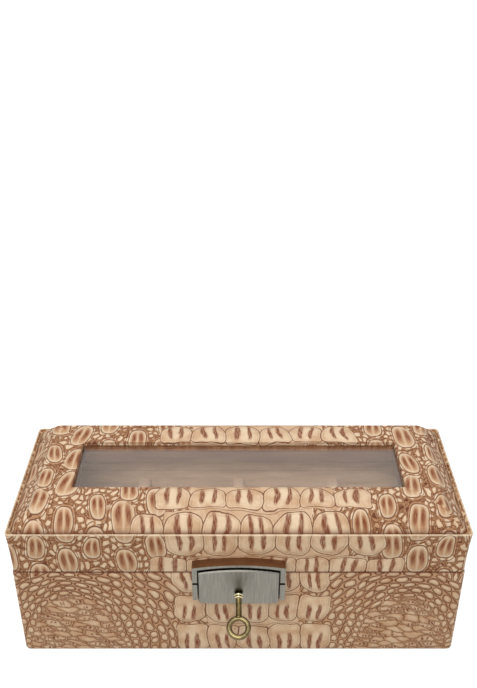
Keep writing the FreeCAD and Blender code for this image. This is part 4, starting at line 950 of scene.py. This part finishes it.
# Glass and its bead
# A pane of clear float glass, 2 mm thick, held up into its rebate by a bead wrapped in brown calf with
# mottles 2.4 mm across. Smears about 17 mm across dull the pane a little.
glass_material, glass_tree, glass_shader = new_material("float_glass")
glass_shader.inputs["Base Color"].default_value = (0.97, 0.98, 0.97, 1.0)
glass_shader.inputs["IOR"].default_value = 1.52
glass_shader.inputs["Transmission Weight"].default_value = 1.0
glass_place = node(glass_tree, "TexCoord", {}, out="Object")
smears = node(glass_tree, "TexNoise", {"Vector": glass_place, "Scale": 60.0, "Detail": 2.0})
smears = node(glass_tree, "MapRange", [smears, 0.3, 0.7, 0.0, 0.04])
glass_tree.links.new(smears, glass_shader.inputs["Roughness"])
# The lamps light what is under it, straight through
lamp_ray = node(glass_tree, "LightPath", {}, out="Is Shadow Ray")
clear = node(glass_tree, "BsdfTransparent", {"Color": (0.93, 0.94, 0.93, 1.0)})
glass_mix = node(glass_tree, "MixShader", [lamp_ray, glass_shader.outputs[0], clear])
glass_tree.links.new(glass_mix, glass_tree.nodes["Material Output"].inputs["Surface"])
dress("window_glass", glass_material)

bead_material, bead_tree, bead_shader = new_material("brown_calf")
bead_place = node(bead_tree, "TexCoord", {}, out="Object")
bead_grain = node(bead_tree, "VectorMath MULTIPLY", [bead_place, (420.0, 420.0, 60.0)])
bead_grain = node(bead_tree, "TexNoise", {"Vector": bead_grain, "Scale": 1.0, "Detail": 3.0})
bead_tone = node(bead_tree, "MapRange", [bead_grain, 0.35, 0.65, 0.0, 1.0])
bead_tone = node(bead_tree, "Mix", {0: bead_tone, 6: linear("#7A4E32"), 7: linear("#9A6B4A")}, **COLOUR)
bead_tree.links.new(bead_tone, bead_shader.inputs["Base Color"])
bead_shader.inputs["Roughness"].default_value = 0.55
dress("glass_bead", bead_material)


# Lock and hinges
# Brass pressings. The lock's are brushed upright and plated with nickel: warm grey, with fine scratches about
# 0.1 mm apart, drawn at 0.4 mm so that they show. Its screws, springs and works are bright steel.
def satin_metal(name, dark, light, roughness, scratches, up_painted_light=None):
    """Brushed metal. scratches is how many there are to a metre, in x, y and z, and the last argument is a
    colour
    painted on faces that look up: painted shade on the lock's case and plate, and a painted reflection of the
    leather on its arch."""
    material, tree, shader = new_material(name)
    place = node(tree, "TexCoord", {}, out="Object")
    brush = node(tree, "VectorMath MULTIPLY", [place, scratches])
    brush = node(tree, "TexNoise", {"Vector": brush, "Scale": 1.0, "Detail": 4.0, "Roughness": 0.6})
    tone = node(tree, "MapRange", [brush, 0.3, 0.7, 0.0, 1.0])
    colour = node(tree, "Mix", {0: tone, 6: linear(dark), 7: linear(light)}, **COLOUR)
    # Painted light: a colour laid over faces as far as they look up
    if up_painted_light:
        facing = node(tree, "TexCoord", {}, out="Normal")
        facing = node(tree, "SeparateXYZ", [facing], out=2)
        facing = node(tree, "MapRange", [facing, 0.45, 0.95, 0.0, 1.0], **EASED)
        colour = node(tree, "Mix", {0: facing, 6: colour, 7: linear(up_painted_light)}, **COLOUR)
    tree.links.new(colour, shader.inputs["Base Color"])
    shader.inputs["Metallic"].default_value = 1.0
    worn = node(tree, "MapRange", [brush, 0.3, 0.7, roughness - 0.06, roughness + 0.08])
    tree.links.new(worn, shader.inputs["Roughness"])
    bump = node(tree, "Bump", {"Strength": 0.12, "Distance": 0.05 * MM, "Height": brush})
    tree.links.new(bump, shader.inputs["Normal"])
    return material


UPRIGHT_BRUSH = (2600.0, 400.0, 90.0)
# The case and plate are painted darker on faces that look up, as painted shade, and the arch is painted
# leather brown there, as a painted reflection of the leather round it
nickel = satin_metal("satin_nickel", "#716F69", "#8F8D85", 0.34, UPRIGHT_BRUSH, "#45403A")
arch_nickel_painted_reflection = satin_metal("arch_nickel_painted_reflection", "#716F69", "#8F8D85", 0.34, UPRIGHT_BRUSH, "#8C6B50")
steel = satin_metal("bright_steel", "#8E8E8C", "#B4B4B0", 0.36, (900.0, 900.0, 900.0))
hinge_brass = satin_metal("antiqued_hinge_brass", "#6E5A34", "#9A8352", 0.38, (200.0, 2600.0, 900.0))
dress("lock_arch", arch_nickel_painted_reflection)
for name in ("lock_case", "push_plate"):
    dress(name, nickel)
for name in ("arch_screws", "lock_case_screws", "plate_springs", "latch_yoke", "key_drum", "lock_bolt"):
    dress(name, steel)
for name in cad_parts:
    if name.startswith("hinge_"):
        dress(name, hinge_brass)
for name in ("lock_arch", "lock_case", "push_plate"):
    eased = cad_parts[name].modifiers.new("eased_edges", "BEVEL")
    eased.width = 0.22 * MM
    eased.segments = 3
    eased.limit_method = "ANGLE"
    eased.angle_limit = math.radians(35)


# Key
# Cast brass, antiqued: mottled dark olive, worn bright on the two bands of its collar, with a faint painted
# highlight on the upper side of its ring. All of it is round but for the ring and the bit.
KEY_AXIS = Vector((0.0, -math.cos(math.radians(22.0)), -math.sin(math.radians(22.0))))
KEY_START = Vector((0.0, -55.8, 55.3)) * MM
KEY_SHAFT = 1.72
# Each turned row: how far along the key it is from KEY_START, and its radius, in millimetres
KEY_PROFILE = [
    (-6.9, 0.0),
    (-6.9, 1.5),
    (-6.7, KEY_SHAFT - 0.1),
    (1.1, KEY_SHAFT - 0.1),
    (1.2, 2.35),
    (1.35, 2.65),
    (1.95, 2.65),
    (2.1, 2.4),
    (2.2, 2.1),
    (2.45, 2.1),
    (2.55, 2.3),
    (2.7, 2.42),
    (3.2, 2.42),
    (3.4, 2.1),
    (3.6, KEY_SHAFT + 0.05),
    (4.2, KEY_SHAFT),
    (9.0, KEY_SHAFT - 0.08),
    (13.2, KEY_SHAFT),
    (14.4, KEY_SHAFT + 0.3),
    (15.2, KEY_SHAFT + 0.1),
    (15.6, 0.6),
    (15.7, 0.0),
]
BAND_ROWS = (5, 6, 7, 12, 13)
TURN_STEPS = 32
RING_PLACE = 20.3
RING_RADIUS = 5.32
RING_WIRE = 1.48
RING_STEPS = 64
WIRE_STEPS = 20
BIT_ENDS = (-6.9, -2.9)
BIT_HALF = 0.6
BIT_REACH = 3.1


def round_about(steps):
    """The angles of so many even steps round a circle."""
    return [2 * math.pi * i / steps for i in range(steps)]


def key_mesh():
    """The key's turned shaft and collar, its ring of slightly flattened wire, and its bit."""
    mesh = bmesh.new()
    worn = mesh.verts.layers.float.new("worn")
    side = Vector((1, 0, 0))
    up = KEY_AXIS.cross(side)
    rows = []
    for number, (along, radius) in enumerate(KEY_PROFILE):
        middle = KEY_START + KEY_AXIS * along * MM
        row = []
        for angle in round_about(TURN_STEPS):
            out = side * math.cos(angle) + up * math.sin(angle)
            row.append(mesh.verts.new(middle + out * max(radius, 0.01) * MM))
            row[-1][worn] = float(number in BAND_ROWS)
        rows.append(row)
    for low, high in zip(rows, rows[1:]):
        for i in range(TURN_STEPS):
            mesh.faces.new((low[i - 1], high[i - 1], high[i], low[i]))
    mesh.faces.new(rows[0])
    mesh.faces.new(rows[-1][::-1])

    centre = KEY_START + KEY_AXIS * RING_PLACE * MM
    turns = []
    for angle in round_about(RING_STEPS):
        out = side * math.cos(angle) + KEY_AXIS * math.sin(angle)
        row = []
        for around in round_about(WIRE_STEPS):
            wide = RING_RADIUS + RING_WIRE * 1.05 * math.cos(around)
            deep = RING_WIRE * 0.92 * math.sin(around)
            row.append(mesh.verts.new(centre + (out * wide + up * deep) * MM))
            # A faint painted highlight on the upper side of the ring
            row[-1][worn] = 0.08 * max(math.sin(around), 0) ** 2
        turns.append(row)
    for i in range(RING_STEPS):
        for j in range(WIRE_STEPS):
            mesh.faces.new((turns[i - 1][j - 1], turns[i - 1][j], turns[i][j], turns[i][j - 1]))

    ends = []
    for along in BIT_ENDS:
        for x, down in ((-BIT_HALF, 0), (BIT_HALF, 0), (BIT_HALF, BIT_REACH), (-BIT_HALF, BIT_REACH)):
            ends.append(mesh.verts.new(KEY_START + (KEY_AXIS * along + side * x - up * down) * MM))
    mesh.faces.new(ends[0:4])
    mesh.faces.new(ends[4:8][::-1])
    for i in range(4):
        after = (i + 1) % 4
        mesh.faces.new((ends[i], ends[i + 4], ends[after + 4], ends[after]))
    bmesh.ops.recalc_face_normals(mesh, faces=mesh.faces)
    for face in mesh.faces:
        face.smooth = len(face.verts) == 4
    return finished(mesh, "key_piece")


key_piece = add_object("key_piece", key_mesh())
key_brass = satin_metal("antique_brass", "#4E4228", "#7D6D47", 0.3, (500.0, 500.0, 500.0))
key_tree = key_brass.node_tree
key_colour = key_tree.nodes["Principled BSDF"].inputs["Base Color"]
# Pale where the collar's bands are worn, and as a painted highlight on the ring's upper side
worn = node(key_tree, "Attribute", {}, out="Fac", attribute_name="worn")
bright = {0: worn, 6: key_colour.links[0].from_socket, 7: linear("#D6CCA6")}
key_tree.links.new(node(key_tree, "Mix", bright, **COLOUR), key_colour)
key_piece.data.materials.append(key_brass)
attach(key_piece, "lock_key")
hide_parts("key")


# Floor, light and camera
# A white table under a big soft light in front and above, as in a catalogue picture. The table and the studio
# round it are white to the camera, and in the glass and the metal.
def seen(tree):
    """1 for a ray from the camera, a mirror or glass, and 0 for those that light matt surfaces."""
    straight = node(tree, "LightPath", {}, out="Is Camera Ray")
    mirrored = node(tree, "LightPath", {}, out="Is Glossy Ray")
    through = node(tree, "LightPath", {}, out="Is Transmission Ray")
    either = node(tree, "Math MAXIMUM", [straight, mirrored])
    return node(tree, "Math MAXIMUM", [either, through])


WHITE = linear("#FFFFFF")
FLOOR = 12.0
floor_mesh = bpy.data.meshes.new("table_top")
corners = [(-FLOOR, -FLOOR, 0), (FLOOR, -FLOOR, 0), (FLOOR, FLOOR, 0), (-FLOOR, FLOOR, 0)]
floor_mesh.from_pydata(corners, [], [(0, 1, 2, 3)])
table_top = add_object("table_top", floor_mesh)
table_material, table_tree, table_shader = new_material("white_table")
table_shader.inputs["Base Color"].default_value = linear("#C4C2BE")
table_shader.inputs["Roughness"].default_value = 0.8
# The lamps light the middle of the table, so it glows a little more from 1 m out, to stay white all over
from_box = node(table_tree, "TexCoord", {}, out="Object")
from_box = node(table_tree, "VectorMath LENGTH", [from_box], out="Value")
glow = node(table_tree, "MapRange", [from_box, 1.0, 4.0, 0.62, 0.74])
glow = node(table_tree, "Emission", {"Color": WHITE, "Strength": glow})
dark = node(table_tree, "Emission", {"Color": linear("#000000"), "Strength": 0.0})
glow = node(table_tree, "MixShader", [seen(table_tree), dark, glow])
table_lit = node(table_tree, "AddShader", [table_shader.outputs[0], glow])
table_tree.links.new(table_lit, table_tree.nodes["Material Output"].inputs["Surface"])
floor_mesh.materials.append(table_material)

world = bpy.data.worlds.new("studio")
bpy.context.scene.world = world
world.use_nodes = True
sky = world.node_tree
shine = node(sky, "Mix", {0: seen(sky), 2: 0.46, 3: 1.0})
sky.links.new(shine, sky.nodes["Background"].inputs["Strength"])
sky.nodes["Background"].inputs["Color"].default_value = WHITE

for name, place, size, power in (
    ("main_softbox", (-0.25, -0.8, 1.45), 1.1, 20.0),
    ("back_softbox", (0.35, 0.65, 1.9), 0.8, 7.0),
):
    lamp = bpy.data.lights.new(name, "AREA")
    lamp.shape = "SQUARE"
    lamp.size = size
    lamp.energy = power
    softbox = add_object(name, lamp)
    softbox.location = place
    aim = Vector((0, 0, 0.05)) - Vector(place)
    softbox.rotation_euler = aim.to_track_quat("-Z", "Y").to_euler()

bpy.context.scene.view_settings.view_transform = "Standard"
FOCAL_PIXELS = 852.7
IMAGE_HEIGHT = 688
CAMERA_TILT = math.radians(30.54)
camera_data = bpy.data.cameras.new("catalogue_camera")
camera_data.sensor_width = 36.0
camera_data.lens = FOCAL_PIXELS / IMAGE_HEIGHT * camera_data.sensor_width
camera = add_object("catalogue_camera", camera_data)
camera.location = (-0.1 * MM, -403.1 * MM, 425.0 * MM)
camera.rotation_euler = (math.radians(90) - CAMERA_TILT, 0, 0)
bpy.context.scene.camera = camera
